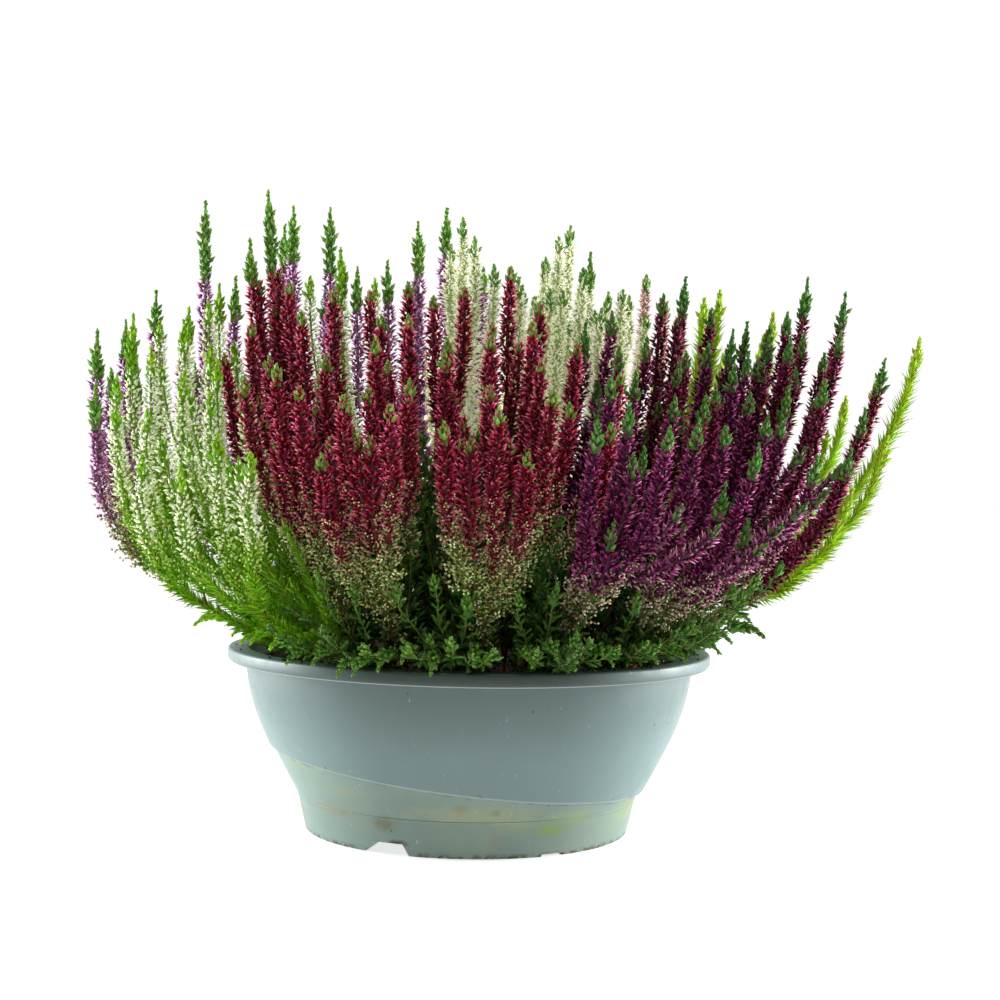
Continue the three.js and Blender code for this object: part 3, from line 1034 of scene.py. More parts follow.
# Lower shoots that run straight out from the crown, by the spray they belong to.
SLANTING_TIPS: dict[str, list[Tip]] = {
    "purple_spray_09": [(158, -72, 166, 6), (168, -58, 178, 6), (150, -56, 184, 7)],
    "purple_spray_10": [(134, -96, 150, 5), (146, -88, 160, 6), (126, -106, 142, 5)],
    "purple_spray_11": [(104, -118, 150, 5), (88, -124, 158, 5)],
}


# Sprigs that hang over the rim, by the spray they belong to.
SPRIGS: dict[str, list[Tip]] = {
    "leafy_spray_01": [(-53, -117, 84), (-46, -119, 85), (-64, -108, 88), (-76, -100, 87)],
    "leafy_spray_02": [(-36, -119, 87), (-14, -122, 86), (4, -123, 90), (-26, -122, 91)],
    "leafy_spray_03": [(28, -120, 90), (46, -113, 88), (62, -106, 90), (38, -118, 93)],
    "leafy_spray_04": [(82, -92, 90), (96, -78, 89), (132, -62, 99), (112, -66, 92)],
    "leafy_spray_05": [(136, 8, 100), (124, -14, 92)],
    "leafy_spray_08": [(-118, 38, 96), (-112, 58, 92)],
    "white_spray_04": [(-108, -42, 93), (-102, -56, 91), (-126, -38, 97)],
    "white_spray_06": [(-96, -66, 92), (-86, -78, 91), (-74, -90, 92)],
}


@dataclass(frozen=True)
class Habit:
    """How one heather grows. Lengths and heights are in millimetres.

    Attributes:
        buds: Finish of the buds.
        leaves: Finish of the leaves.
        green: Length of a shoot's green tip, where its own is not given.
        leafy: Height up to which a shoot bears only leaves.
        ripe: Height from which its buds are ripe.
        flowers: Whether it flowers.
        bud: Length and width of a ripe bud.
        bud_lean_deg: How far a bud leans away from the stem.
        bud_step: Distance along the stem from bud to bud.
        bud_reach: Least and greatest distance of a bud's foot from the stem's middle.
        bud_leaf_step: Distance from one leaf to the next among the buds.
        core: Radius of the dark tube in the middle of a spike, painted shade among the buds.
        twig: Length of a leafy side twig.
        twig_lean_deg: How far it leans away from the stem.
        twig_step: Distance from one pair of twigs to the next.
        fillers: Number of lower shoots that stand among a spray's own.
        bushes: Number of low leafy shoots at its foot.
        needles: Whether it bears single long leaves all round instead of twigs.
        sweeps: Whether its shoots run far out over the rim before they turn up.
    """

    buds: BudFinish
    leaves: LeafFinish
    green: float
    leafy: float
    ripe: float
    flowers: bool = True
    bud: tuple[float, float] = (3.8, 2.2)
    bud_lean_deg: float = 68
    bud_step: float = 0.26
    bud_reach: tuple[float, float] = (0.9, 3.1)
    bud_leaf_step: float = 1.1
    core: float = 1.4
    twig: float = 7.0
    twig_lean_deg: float = 46
    twig_step: float = 4.4
    fillers: int = 1
    bushes: int = 3
    needles: bool = False
    sweeps: bool = False


PINE = LeafFinish("leaf_pine", srgb(104, 152, 48), srgb(46, 84, 26), srgb(140, 176, 84))
DARK_PINE = LeafFinish("leaf_dark_pine", srgb(106, 158, 52), srgb(46, 88, 28), srgb(146, 186, 84))
DEEP_PINE = LeafFinish("leaf_deep_pine", srgb(78, 130, 48), srgb(36, 72, 24), srgb(118, 162, 78))
RIM_PINE = LeafFinish("leaf_rim_pine", srgb(82, 128, 42), srgb(34, 68, 18), srgb(128, 164, 76))
LIME = LeafFinish("leaf_lime", srgb(132, 188, 22), srgb(26, 78, 8), srgb(158, 202, 44), 0.025)
GOLD = LeafFinish("leaf_gold", srgb(168, 202, 40), srgb(80, 150, 20), srgb(196, 220, 84), 0.04)
GRASS = LeafFinish("leaf_grass", srgb(104, 158, 60), srgb(58, 110, 30), srgb(150, 186, 96))
WOOD = StemFinish("stem", srgb(126, 84, 44), srgb(120, 128, 52))

CRIMSON_BUDS = BudFinish(
    "bud_crimson", srgb(42, 6, 12), srgb(168, 0, 52), srgb(236, 130, 160),
    srgb(182, 78, 96), srgb(176, 194, 108), srgb(238, 240, 196), 0.45,
)
PURPLE_BUDS = BudFinish(
    "bud_purple", srgb(32, 8, 24), srgb(126, 4, 82), srgb(212, 112, 170),
    srgb(174, 88, 136), srgb(176, 166, 120), srgb(236, 222, 206), 0.42,
)
WINE_BUDS = BudFinish(
    "bud_wine", srgb(36, 8, 18), srgb(130, 0, 56), srgb(212, 100, 146),
    srgb(160, 76, 112), srgb(176, 164, 122), srgb(236, 220, 206), 0.42,
)
LILAC_BUDS = BudFinish(
    "bud_lilac", srgb(96, 52, 82), srgb(190, 112, 178), srgb(246, 226, 242),
    srgb(176, 122, 150), srgb(140, 132, 80), srgb(216, 196, 168), 0.35, 0.03,
)
WHITE_BUDS = BudFinish(
    "bud_white", srgb(108, 148, 34), srgb(242, 250, 206), srgb(255, 255, 246),
    srgb(206, 230, 132), srgb(160, 200, 74), srgb(238, 246, 206), 0.2, 0.1,
    (0.18, 0.52, 0.56, 0.9),
)
CREAM_BUDS = BudFinish(
    "bud_cream", srgb(136, 160, 78), srgb(246, 246, 212), srgb(255, 255, 242),
    srgb(224, 230, 176), srgb(196, 208, 140), srgb(242, 242, 214), 0.2, 0.2,
)
PINK_BUDS = BudFinish(
    "bud_pink", srgb(126, 120, 76), srgb(232, 176, 180), srgb(248, 226, 222),
    srgb(222, 184, 170), srgb(202, 200, 150), srgb(240, 232, 210), 0.25, 0.14,
)

HABITS: dict[Heather, Habit] = {
    Heather.CRIMSON: Habit(
        CRIMSON_BUDS, PINE, 4, 104, 167, bud=(3.5, 2.3), bud_lean_deg=67, bud_step=0.24,
        bud_reach=(0.4, 3.1), twig_step=4.4, fillers=3, bushes=5,
    ),
    Heather.PURPLE: Habit(
        PURPLE_BUDS, DEEP_PINE, 8, 98, 134, bud=(3.4, 2.3), bud_lean_deg=66, bud_step=0.27,
        bud_reach=(0.4, 2.9), core=1.3, twig_step=4.8, fillers=3, bushes=5,
    ),
    Heather.LILAC: Habit(
        LILAC_BUDS, DARK_PINE, 14, 126, 206, bud=(3.6, 2.2), bud_lean_deg=66, bud_step=0.31,
        bud_reach=(0.5, 3.2), core=1.1, bushes=2, sweeps=True,
    ),
    Heather.WHITE: Habit(
        WHITE_BUDS, LIME, 7, 154, 186, bud=(3.4, 1.7), bud_lean_deg=78, bud_step=0.37,
        bud_reach=(0.5, 1.9), bud_leaf_step=0.6, core=0.8, twig=7.6, twig_lean_deg=40,
        twig_step=0.305, fillers=2, bushes=8, needles=True, sweeps=True,
    ),
    Heather.CREAM: Habit(
        CREAM_BUDS, GRASS, 5, 130, 165, bud=(3.8, 2.0), bud_lean_deg=66, bud_step=0.23,
        bud_reach=(0.4, 2.5), core=1.1,
    ),
    Heather.PINK: Habit(
        PINK_BUDS, GRASS, 7, 140, 175, bud=(3.4, 1.9), bud_step=0.24,
        bud_reach=(0.4, 2.4), core=1.1,
    ),
    Heather.GOLDEN: Habit(
        WHITE_BUDS, GOLD, 10, 0, 0, flowers=False, twig=9.6, twig_lean_deg=39, twig_step=0.27,
        fillers=2, bushes=0, needles=True,
    ),
    Heather.LEAFY: Habit(
        CRIMSON_BUDS, RIM_PINE, 4, 0, 0, flowers=False, twig=6.2, twig_lean_deg=50,
        twig_step=3.1, fillers=3,
    ),
}


# Sprays whose buds differ from their heather's.
OTHER_BUDS: dict[str, BudFinish] = {
    f"purple_spray_{number:02d}": WINE_BUDS for number in (3, 4, 6, 7, 8)
}


@dataclass(frozen=True)
class Shape:
    """A small closed shape that is set many times. It stands on its foot and is one unit tall.

    Attributes:
        points: Its points, one a row.
        corners: The three points of each triangle.
        rise: How far up its own leaf or bud each point is, from 0 to 1.
        parts: What each triangle belongs to.
    """

    points: np.ndarray
    corners: np.ndarray
    rise: np.ndarray
    parts: np.ndarray

    @classmethod
    def taken_from(cls, model: bpy.types.Object) -> Shape:
        """Reads a shape from the model of it, and removes the model.

        Args:
            model: The model, whose points carry their rise and whose faces carry their part.

        Returns:
            The shape.
        """
        pick_up(model)
        bpy.ops.object.mode_set(mode="EDIT")
        bpy.ops.mesh.select_all(action="SELECT")
        bpy.ops.mesh.quads_convert_to_tris()
        bpy.ops.mesh.normals_make_consistent(inside=False)
        bpy.ops.object.mode_set(mode="OBJECT")
        mesh = model.data
        points, rise = np.zeros(len(mesh.vertices) * 3), np.zeros(len(mesh.vertices))
        corners, parts = np.zeros(len(mesh.polygons) * 3, int), np.zeros(len(mesh.polygons), int)
        mesh.vertices.foreach_get("co", points)
        mesh.loops.foreach_get("vertex_index", corners)
        mesh.attributes["rise"].data.foreach_get("value", rise)
        mesh.attributes["part"].data.foreach_get("value", parts)
        bpy.data.objects.remove(model)
        bpy.data.meshes.remove(mesh)
        return cls(points.reshape(-1, 3), corners.reshape(-1, 3), rise, parts)


def mark(model: bpy.types.Object, part: Part) -> bpy.types.Object:
    """Writes on a model's points how far up they are, and on its faces what they belong to.

    Args:
        model: The model.
        part: What it belongs to.

    Returns:
        The model.
    """
    heights = [vertex.co.z for vertex in model.data.vertices]
    low, high = min(heights), max(heights)
    rise = model.data.attributes.new("rise", "FLOAT", "POINT")
    rise.data.foreach_set("value", [(z - low) / (high - low) for z in heights])
    own = model.data.attributes.new("part", "INT", "FACE")
    own.data.foreach_set("value", [part.value] * len(model.data.polygons))
    return model


class Shapes:
    """The shapes that all shoots are made of, each modelled once."""

    def __init__(self) -> None:
        """Models the shapes."""
        self.bud = Shape.taken_from(self.blade(1.0, 0.5, Part.BUD))
        self.curved_bud = Shape.taken_from(self.drop(3, 0.5, 1.0, 0.4, Part.BUD))
        self.leaf = Shape.taken_from(self.blade(1.0, 0.2))
        self.twig = Shape.taken_from(self.scaly_twig(3, 0.33))
        self.plain_twig = Shape.taken_from(self.scaly_twig(2, 0.4))
        self.stub = Shape.taken_from(self.scaly_twig(1, 0.46))
        self.knob = Shape.taken_from(self.drop(4, 0.62, 1.0, 0.0, Part.LEAF))
        self.beads = Shape.taken_from(self.beaded_twig(5))

    @staticmethod
    def drop(sides: int, bulge: float, width: float, bend: float, part: Part) -> bpy.types.Object:
        """Models a drop: pointed at its foot and its top, and one unit tall.

        Args:
            sides: Number of sides.
            bulge: Height of its widest place.
            width: Width there.
            bend: How far its top bends over.
            part: What it belongs to.

        Returns:
            The model.
        """
        near_top = 0.99
        put_down_all()
        bpy.ops.mesh.primitive_cone_add(
            vertices=sides, radius1=width / 2, depth=1 - bulge, end_fill_type="TRIFAN",
            location=(0, 0, (1 + bulge) / 2),
        )
        model = settle(bpy.context.object, "drop")
        bpy.ops.object.mode_set(mode="EDIT")
        pick_parts(model, "VERT", lambda at: at.xy.length < 0.01 * width and at.z < near_top)
        bpy.ops.transform.translate(value=(0, 0, -bulge))
        pick_parts(model, "VERT", lambda at: at.z > near_top)
        bpy.ops.transform.translate(value=(0, bend, 0))
        bpy.ops.object.mode_set(mode="OBJECT")
        return mark(model, part)

    @staticmethod
    def blade(length: float, width: float, part: Part = Part.LEAF) -> bpy.types.Object:
        """Models a scale leaf: a flattened three-sided point that curves in at its tip.

        Args:
            length: Its length.
            width: Its width at the foot.
            part: What it belongs to.

        Returns:
            The model, which stands on its foot.
        """
        put_down_all()
        bpy.ops.mesh.primitive_cone_add(
            vertices=3, radius1=width, depth=length, location=(0, 0, length / 2)
        )
        model = settle(bpy.context.object, "blade")
        bpy.ops.object.mode_set(mode="EDIT")
        bpy.ops.mesh.select_all(action="SELECT")
        bpy.ops.transform.resize(value=(1, 0.75, 1), center_override=(0, 0, 0))
        pick_parts(model, "VERT", lambda at: at.z > length / 2)
        bpy.ops.transform.translate(value=(0, 0.25 * width, 0))
        bpy.ops.object.mode_set(mode="OBJECT")
        return mark(model, part)

    @staticmethod
    def add(
        body: bpy.types.Object,
        piece: bpy.types.Object,
        height: float,
        lean_deg: float,
        turn_deg: float,
        size: float = 1.0,
        out: float = 0.0,
    ) -> None:
        """Sets a piece on a body and joins the two.

        Args:
            body: The body.
            piece: The piece.
            height: Height of the piece's foot.
            lean_deg: How far it leans out.
            turn_deg: Its turn round the body.
            size: Its size.
            out: Distance of its foot from the body's axis.
        """
        turn = math.radians(turn_deg)
        piece.scale = (size, size, size)
        piece.rotation_euler = (math.radians(lean_deg), 0, turn)
        piece.location = (out * math.sin(turn), -out * math.cos(turn), height)
        settle(piece, "added")
        pick_up(piece, body)
        bpy.ops.object.join()

    @classmethod
    def scaly_twig(cls, pairs: int, leaf: float) -> bpy.types.Object:
        """Models a leafy twig: pairs of scale leaves, each a quarter turn from the last.

        Args:
            pairs: Number of pairs.
            leaf: Length of a leaf.

        Returns:
            The model.
        """
        lowest, spread, only = 0.1, 0.84 - leaf, 0.42
        twig = cls.drop(4, 0.45, 0.21, 0.0, Part.LEAF)
        for pair in range(pairs):
            height = lowest + spread * pair / (pairs - 1) if pairs > 1 else only
            for side_deg in (0, 180):
                blade = cls.blade(leaf, 0.27 * leaf)
                cls.add(twig, blade, height, 25 - 3 * pair, side_deg + 90 * (pair % 2), out=0.03)
        return twig

    @classmethod
    def beaded_twig(cls, count: int) -> bpy.types.Object:
        """Models a thin side twig with round dry buds on its outer half.

        Args:
            count: Number of buds.

        Returns:
            The model.
        """
        lowest, spread, next_deg = 0.25, 0.62, 137.5
        twig = cls.drop(3, 0.1, 0.07, 0.0, Part.STEM)
        for order in range(count):
            height = lowest + spread * order / (count - 1)
            bead = cls.drop(3, 0.5, 0.85, 0.0, Part.BUD)
            cls.add(twig, bead, height, 52, next_deg * order, size=0.2, out=0.03)
        return twig


def unit(vectors: np.ndarray) -> np.ndarray:
    """Vectors, one a row, each made one long."""
    return vectors / np.linalg.norm(vectors, axis=-1, keepdims=True)


def across(ways: np.ndarray, aside: np.ndarray) -> tuple[np.ndarray, np.ndarray]:
    """Two directions square to each way and to each other.

    Args:
        ways: The ways, one a row.
        aside: A direction that none of them runs along.

    Returns:
        The first and the second direction for each way, one a row.
    """
    first = unit(np.cross(ways, aside))
    return first, np.cross(ways, first)


def bezier(corners: np.ndarray, t: np.ndarray) -> np.ndarray:
    """A curve from the first of four corners to the last, drawn towards the other two.

    Args:
        corners: The corners, one a row.
        t: Where along the curve, from 0 to 1.

    Returns:
        The places, one a row.
    """
    back = 1 - t
    weights = np.stack([back**3, 3 * back**2 * t, 3 * back * t**2, t**3], axis=1)
    return weights @ corners


def swaying(t: np.ndarray, chance: np.random.Generator, width: float = 1.1 * MM) -> np.ndarray:
    """A slight sway that is nothing at both ends.

    Args:
        t: Where along the line, from 0 to 1.
        chance: Chance.
        width: How wide it sways.

    Returns:
        What is added to each point, one a row.
    """
    turns = chance.uniform(1.5, 3.0, 3)
    starts = chance.uniform(0, 2 * math.pi, 3)
    waves = np.sin(2 * math.pi * t[:, None] * turns + starts)
    return width * np.sin(math.pi * t)[:, None] * waves * np.array([1.0, 1.0, 0.3])


@dataclass(frozen=True)
class Line:
    """The course of a shoot from its root to its tip.

    Attributes:
        points: Points along it.
        reach: Distance from the root to each of them.
    """

    points: np.ndarray
    reach: np.ndarray

    @classmethod
    def through(cls, points: np.ndarray) -> Line:
        """The line through a row of points."""
        steps = np.linalg.norm(np.diff(points, axis=0), axis=1)
        return cls(points, np.concatenate([[0.0], np.cumsum(steps)]))

    @property
    def length(self) -> float:
        """Its length."""
        return float(self.reach[-1])

    def at(self, along: np.ndarray) -> tuple[np.ndarray, np.ndarray]:
        """Places on the line, and which way it runs there.

        Args:
            along: Distances from the root.

        Returns:
            The places and the directions, one a row.
        """
        half = 2 * MM
        before, here, after = (
            np.stack([np.interp(d, self.reach, self.points[:, k]) for k in range(3)], axis=1)
            for d in (np.clip(along - half, 0, self.length - half), along, along + half)
        )
        return here, unit(after - before)


@dataclass(frozen=True)
class Planting:
    """Where shoots run, as the frame's solids have them.

    Attributes:
        soil_top: Height of the soil.
        stem_rise: How far a stem stands upright over it.
        root_depth: How deep in the soil a stem starts.
        upright: Inner corners of the curve of a shoot near the axis: shares of its way out and up.
        arched: The same for a shoot that stands fully over the rim.
        root_spread: Stems root within this distance of the axis.
        root_share: A root is this share of its tip's distance out, near the axis.
        full_arch_at: A shoot whose tip is this far out arches fully.
        fork: Where along the leader its side shoots leave it.
        steps: Number of stretches that a line is made of.
    """

    soil_top: float = SOIL_TOP
    stem_rise: float = 3 * MM
    root_depth: float = 6 * MM
    upright: Bend = ((0.17, 0.33), (0.88, 0.66))
    arched: Bend = ((0.17, 0.1), (0.88, 0.33))
    root_spread: float = 98 * MM
    root_share: float = 0.62
    full_arch_at: float = 170 * MM
    fork: float = 0.38
    steps: int = 72

    def curve(self, tip: np.ndarray, t: np.ndarray) -> np.ndarray:
        """A shoot's own curve, which first runs out over the rim and then turns up.

        Args:
            tip: Place of its tip.
            t: Where along the curve, from 0 to 1.

        Returns:
            The places, one a row.
        """
        out = float(np.hypot(tip[0], tip[1]))
        root = self.root_spread * math.tanh(out * self.root_share / self.root_spread) / out
        share = min(1.0, out / self.full_arch_at)
        arch = share * share * (3 - 2 * share)
        bend = (1 - arch) * np.array(self.upright) + arch * np.array(self.arched)
        outward, up = np.vstack([[0, 0], bend, [1, 1]]).T
        flat = root + (1 - root) * outward
        base = self.soil_top + self.stem_rise
        corners = np.stack([tip[0] * flat, tip[1] * flat, base + (tip[2] - base) * up], axis=1)
        return bezier(corners, t)

    def leader(self, tip: np.ndarray, sway: np.random.Generator) -> Line:
        """The line of a spray's leader, with a slight sway.

        Args:
            tip: Place of its tip.
            sway: Chance.

        Returns:
            The line, from the soil.
        """
        t = np.linspace(0, 1, self.steps + 1)
        points = self.curve(tip, t) + swaying(t, sway)
        foot = points[0] - np.array([0, 0, self.stem_rise + self.root_depth])
        return Line.through(np.vstack([foot, points]))

    def forked_at(self, leader: Line) -> float:
        """Distance from a leader's root to where its side shoots leave it."""
        return float(leader.reach[1 + round(self.fork * self.steps)])

    def side_shoot(self, leader: np.ndarray, tip: np.ndarray, sway: np.random.Generator) -> Line:
        """The line of a side shoot, which leaves its leader and bends over to its own curve.

        Args:
            leader: Place of the leader's tip.
            tip: Place of its own tip.
            sway: Chance.

        Returns:
            The line.
        """
        t = np.linspace(0, 1, self.steps + 1)
        own = self.curve(tip, self.fork + (1 - self.fork) * t)
        start = np.array([self.fork])
        away = self.curve(leader, start)[0] - self.curve(tip, start)[0]
        return Line.through(own + away * (1 - t[:, None]) ** 2 + swaying(t, sway))

    def arch(self, start: np.ndarray, middle: np.ndarray, end: np.ndarray) -> Line:
        """A plain arch from start to end, drawn towards the middle."""
        t = np.linspace(0, 1, self.steps // 3)[:, None]
        return Line.through((1 - t) ** 2 * start + 2 * t * (1 - t) * middle + t**2 * end)


# How the shoots run that sweep far out over the rim before they turn up.
SWEPT = Planting(arched=((0.75, 0.2), (1.02, 0.3)))

# How those run that go straight out from the crown.
SLANTING = Planting(upright=((0.3, 0.3), (0.7, 0.66)), arched=((0.3, 0.26), (0.7, 0.6)))

# Directions that no stem runs along, from which a tube's and a shoot's own sides are counted.
TUBE_ASIDE = np.array([0.3001, 0.2, 0.0])
SHOOT_ASIDE = np.array([0.12, 1.0, 0.05])


@dataclass
class Growth:
    """What one spray is made of, gathered shape by shape and then made one mesh.

    Attributes:
        points: Points of each batch.
        corners: Triangles of each batch.
        worn: Rise, age and chance at the points of each batch.
        parts: Material slot of the triangles of each batch.
        count: Number of points so far.
    """

    points: list[np.ndarray] = field(default_factory=list)
    corners: list[np.ndarray] = field(default_factory=list)
    worn: list[np.ndarray] = field(default_factory=list)
    parts: list[np.ndarray] = field(default_factory=list)
    count: int = 0

    def set_out(
        self,
        shape: Shape,
        places: np.ndarray,
        ways: np.ndarray,
        sides: np.ndarray,
        sizes: np.ndarray,
        ages: np.ndarray,
        chances: np.ndarray,
    ) -> None:
        """Sets copies of a shape.

        Args:
            shape: The shape.
            places: Where each foot is.
            ways: Which way each copy points.
            sides: A direction across each copy.
            sizes: Width, thickness and length of each copy.
            ages: Age of each copy.
            chances: A chance number for each copy.
        """
        copies, own = len(places), len(shape.points)
        if not copies:
            return
        ways = unit(ways)
        flat = unit(np.cross(ways, np.cross(sides, ways)))
        axes = np.stack([flat, np.cross(ways, flat), ways], axis=2) * sizes[:, None, :]
        points = np.einsum("kij,nj->kni", axes, shape.points) + places[:, None, :]
        firsts = self.count + own * np.arange(copies)
        corners = shape.corners[None] + firsts[:, None, None]
        worn = np.stack(
            [np.tile(shape.rise, copies), np.repeat(ages, own), np.repeat(chances, own)], axis=1
        )
        self.add(points.reshape(-1, 3), corners.reshape(-1, 3), worn, np.tile(shape.parts, copies))

    def tube(
        self,
        line: Line,
        stretch: tuple[float, float],
        radii: tuple[float, float],
        ages: tuple[float, float],
        part: Part = Part.STEM,
    ) -> None:
        """Adds a closed tube of four sides along a line, which grows thinner.

        Args:
            line: The line.
            stretch: Distances from the root between which it runs.
            radii: Radius at its foot and at its tip.
            ages: Age at its foot and at its tip.
            part: What it belongs to.
        """
        ring_step, taper, rise, chance = 11 * MM, 1.6, 0.12, 0.5
        rings = max(3, round((stretch[1] - stretch[0]) / ring_step))
        share = np.linspace(0, 1, rings + 1)
        places, ways = line.at(stretch[0] + share * (stretch[1] - stretch[0]))
        flat, thick = across(ways, TUBE_ASIDE)
        radius = radii[1] + (radii[0] - radii[1]) * (1 - share) ** taper
        turns = np.arange(4) * math.pi / 2
        spokes = np.cos(turns)[:, None] * flat[:, None] + np.sin(turns)[:, None] * thick[:, None]
        points = places[:, None] + spokes * radius[:, None, None]
        ring, firsts = np.arange(4), 4 * np.arange(rings)[:, None]
        lower, beside = firsts + ring, firsts + (ring + 1) % 4
        sides = np.concatenate(
            [
                np.stack([lower, beside, beside + 4], axis=-1).reshape(-1, 3),
                np.stack([lower, beside + 4, lower + 4], axis=-1).reshape(-1, 3),
                [[0, 2, 1], [0, 3, 2]],
                np.array([[0, 1, 2], [0, 2, 3]]) + 4 * rings,
            ]
        )
        age = np.repeat(ages[0] + (ages[1] - ages[0]) * share, 4)
        worn = np.stack([np.full(len(age), rise), age, np.full(len(age), chance)], axis=1)
        parts = np.full(len(sides), part.value)
        self.add(points.reshape(-1, 3), sides + self.count, worn, parts)

    def add(
        self, points: np.ndarray, corners: np.ndarray, worn: np.ndarray, parts: np.ndarray
    ) -> None:
        """Adds one batch.

        Args:
            points: Its points.
            corners: Its triangles.
            worn: Rise, age and chance at each point.
            parts: What each triangle belongs to.
        """
        self.points.append(points)
        self.corners.append(corners)
        self.worn.append(worn)
        self.parts.append(parts)
        self.count += len(points)

    def made(self, name: str, *finishes: bpy.types.Material) -> bpy.types.Object:
        """Makes the mesh of all that was gathered.

        Args:
            name: The piece's name.
            finishes: The materials of buds, leaves and stems.

        Returns:
            The piece, in the scene.
        """
        points, corners = np.concatenate(self.points), np.concatenate(self.corners)
        worn, parts = np.concatenate(self.worn), np.concatenate(self.parts)
        mesh = bpy.data.meshes.new(name)
        mesh.vertices.add(len(points))
        mesh.vertices.foreach_set("co", points.ravel())
        mesh.loops.add(3 * len(corners))
        mesh.loops.foreach_set("vertex_index", corners.ravel().astype(np.int32))
        mesh.polygons.add(len(corners))
        mesh.polygons.foreach_set("loop_start", 3 * np.arange(len(corners), dtype=np.int32))
        mesh.polygons.foreach_set("use_smooth", parts != Part.LEAF.value)
        for column, label in enumerate(("rise", "age", "chance")):
            layer = mesh.attributes.new(label, "FLOAT", "POINT")
            layer.data.foreach_set("value", worn[:, column].astype(np.float32))
        mesh.update(calc_edges=True)
        mesh.validate()
        wear(mesh, *finishes)
        # The slots are set last, because validate() puts every face back in the first one.
        mesh.polygons.foreach_set("material_index", parts.astype(np.int32))
        piece = bpy.data.objects.new(name, mesh)
        bpy.context.scene.collection.objects.link(piece)
        return piece


@dataclass
class Shoot:
    """One shoot of a spray.

    Attributes:
        line: Its course.
        start: Distance from the spray's root to where the line starts.
        green: Length of its green tip.
        habit: How its heather grows.
        shapes: The shapes it is made of.
        growth: What it is added to.
        chance: Chance.
        plain: Whether it is a low filler with plainer shapes.
        inner: Whether only its top is seen, because it stands inside the plant.
        flowers: Whether it flowers.
        shift: How much higher than its heather's its zones lie, in millimetres.
        pale: How much its buds have faded already.
    """

    line: Line
    start: float
    green: float
    habit: Habit
    shapes: Shapes
    growth: Growth
    chance: np.random.Generator
    plain: bool = False
    inner: bool = False
    flowers: bool = True
    shift: float = 0.0
    pale: float = 0.0

    @property
    def coarse(self) -> bool:
        """Whether fewer and plainer shapes are enough for it."""
        return self.plain or self.inner

    @property
    def flowering(self) -> bool:
        """Whether it and its heather flower."""
        return self.flowers and self.habit.flowers

    def grow(self, radius: float) -> None:
        """Adds the whole shoot.

        Args:
            radius: Radius of its stem at the root.
        """
        line, growth, (leafy, ripe, top) = self.line, self.growth, self.zones()
        age = 1.0 - self.start / (180 * MM)
        growth.tube(line, (0, line.length - 1 * MM), (radius, 0.25 * MM), (age, 0.0))
        self.grow_green_tip()
        if top + 5 * MM < line.length:
            club = (top - 4 * MM, line.length - 3 * MM)
            growth.tube(line, club, (2.4 * MM, 0.6 * MM), (0.4, 0.1), Part.LEAF)
        if self.flowering:
            # Painted shade: a dark tube in the bud colours fills the spike's middle, where shade
            # falls among the buds.
            core, foot = self.habit.core * MM, leafy + 0.6 * (ripe - leafy)
            growth.tube(line, (foot, top + 1 * MM), (core, 0.7 * core), (0.1, 0.1), Part.BUD)
            self.grow_buds()
            self.grow_bud_leaves()
            self.grow_beads()
        if self.habit.needles:
            self.grow_needles()
        else:
            self.grow_twigs()

    def zones(self) -> tuple[float, float, float]:
        """Where its leafy part and its fading and ripe buds lie, also where it is short.

        Returns:
            Where along the line the leafy part ends, and where ripe buds start and end.
        """
        top = self.line.length - self.green
        if not self.flowering:
            return top, top, top
        heights = np.maximum.accumulate(self.line.points[:, 2])
        wanted = (np.array([self.habit.leafy, self.habit.ripe]) + self.shift) * MM
        leafy, ripe = np.interp(wanted, heights, self.line.reach)
        ripe = max(min(ripe, 0.8 * (self.start + top) - self.start), 14 * MM)
        return max(min(leafy, 0.7 * ripe), 6 * MM), ripe, top

    def set_round(
        self,
        shape: Shape,
        along: np.ndarray,
        turn: np.ndarray,
        lean_deg: np.ndarray | float,
        sizes: tuple[np.ndarray, np.ndarray],
        ages: np.ndarray,
        out_by: np.ndarray | float = 0.0,
    ) -> None:
        """Sets copies of a shape round the shoot.

        Args:
            shape: The shape.
            along: Distances from the line's start.
            turn: Angles round the shoot.
            lean_deg: How far each copy leans out.
            sizes: Length and width of each copy.
            ages: Age of each copy.
            out_by: Distance of each foot from the stem's middle.
        """
        places, ways = self.line.at(along)
        flat, thick = across(ways, SHOOT_ASIDE)
        out = np.cos(turn)[:, None] * flat + np.sin(turn)[:, None] * thick
        lean = (np.radians(lean_deg) + self.chance.normal(0, 0.14, len(along)))[:, None]
        length, width = sizes
        self.growth.set_out(
            shape,
            places + out * np.reshape(out_by, (-1, 1)),
            ways * np.cos(lean) + out * np.sin(lean),
            np.cross(ways, out),
            np.stack([width, width, length], axis=1),
            np.clip(ages, 0, 1),
            self.chance.random(len(along)),
        )

    def grow_green_tip(self) -> None:
        """Adds the leafy tip: small knobs close to the stem at its end, and longer ones below."""
        chance, thin = self.chance, min(7.0 * MM, 0.4 * self.green)
        step = 0.8 * MM if self.plain else 0.46 * MM
        down = np.arange(0.3 * MM, self.green + 3 * MM, step)
        places = [0, thin, thin + 3 * MM, thin + 9 * MM]
        size = np.interp(down, places, [2.3, 3.0, 5.4, 6.4]) * MM
        size = size * chance.uniform(0.65, 1.2, len(down))
        width = np.interp(down, places, [1.3, 1.5, 2.0, 2.2]) * MM
        lean = np.interp(down, places, [14, 19, 28, 35])
        turn = np.arange(len(down)) * GOLDEN_ANGLE + chance.uniform(0, 6)
        along = self.line.length - down - 0.3 * size
        # Painted shade: the tips of low filler shoots are given older, darker colours, as shade
        # inside the plant.
        age = down / (60 * MM) + (0.35 if self.plain else 0.0)
        self.set_round(self.shapes.knob, along, turn, lean, (size, width), age)

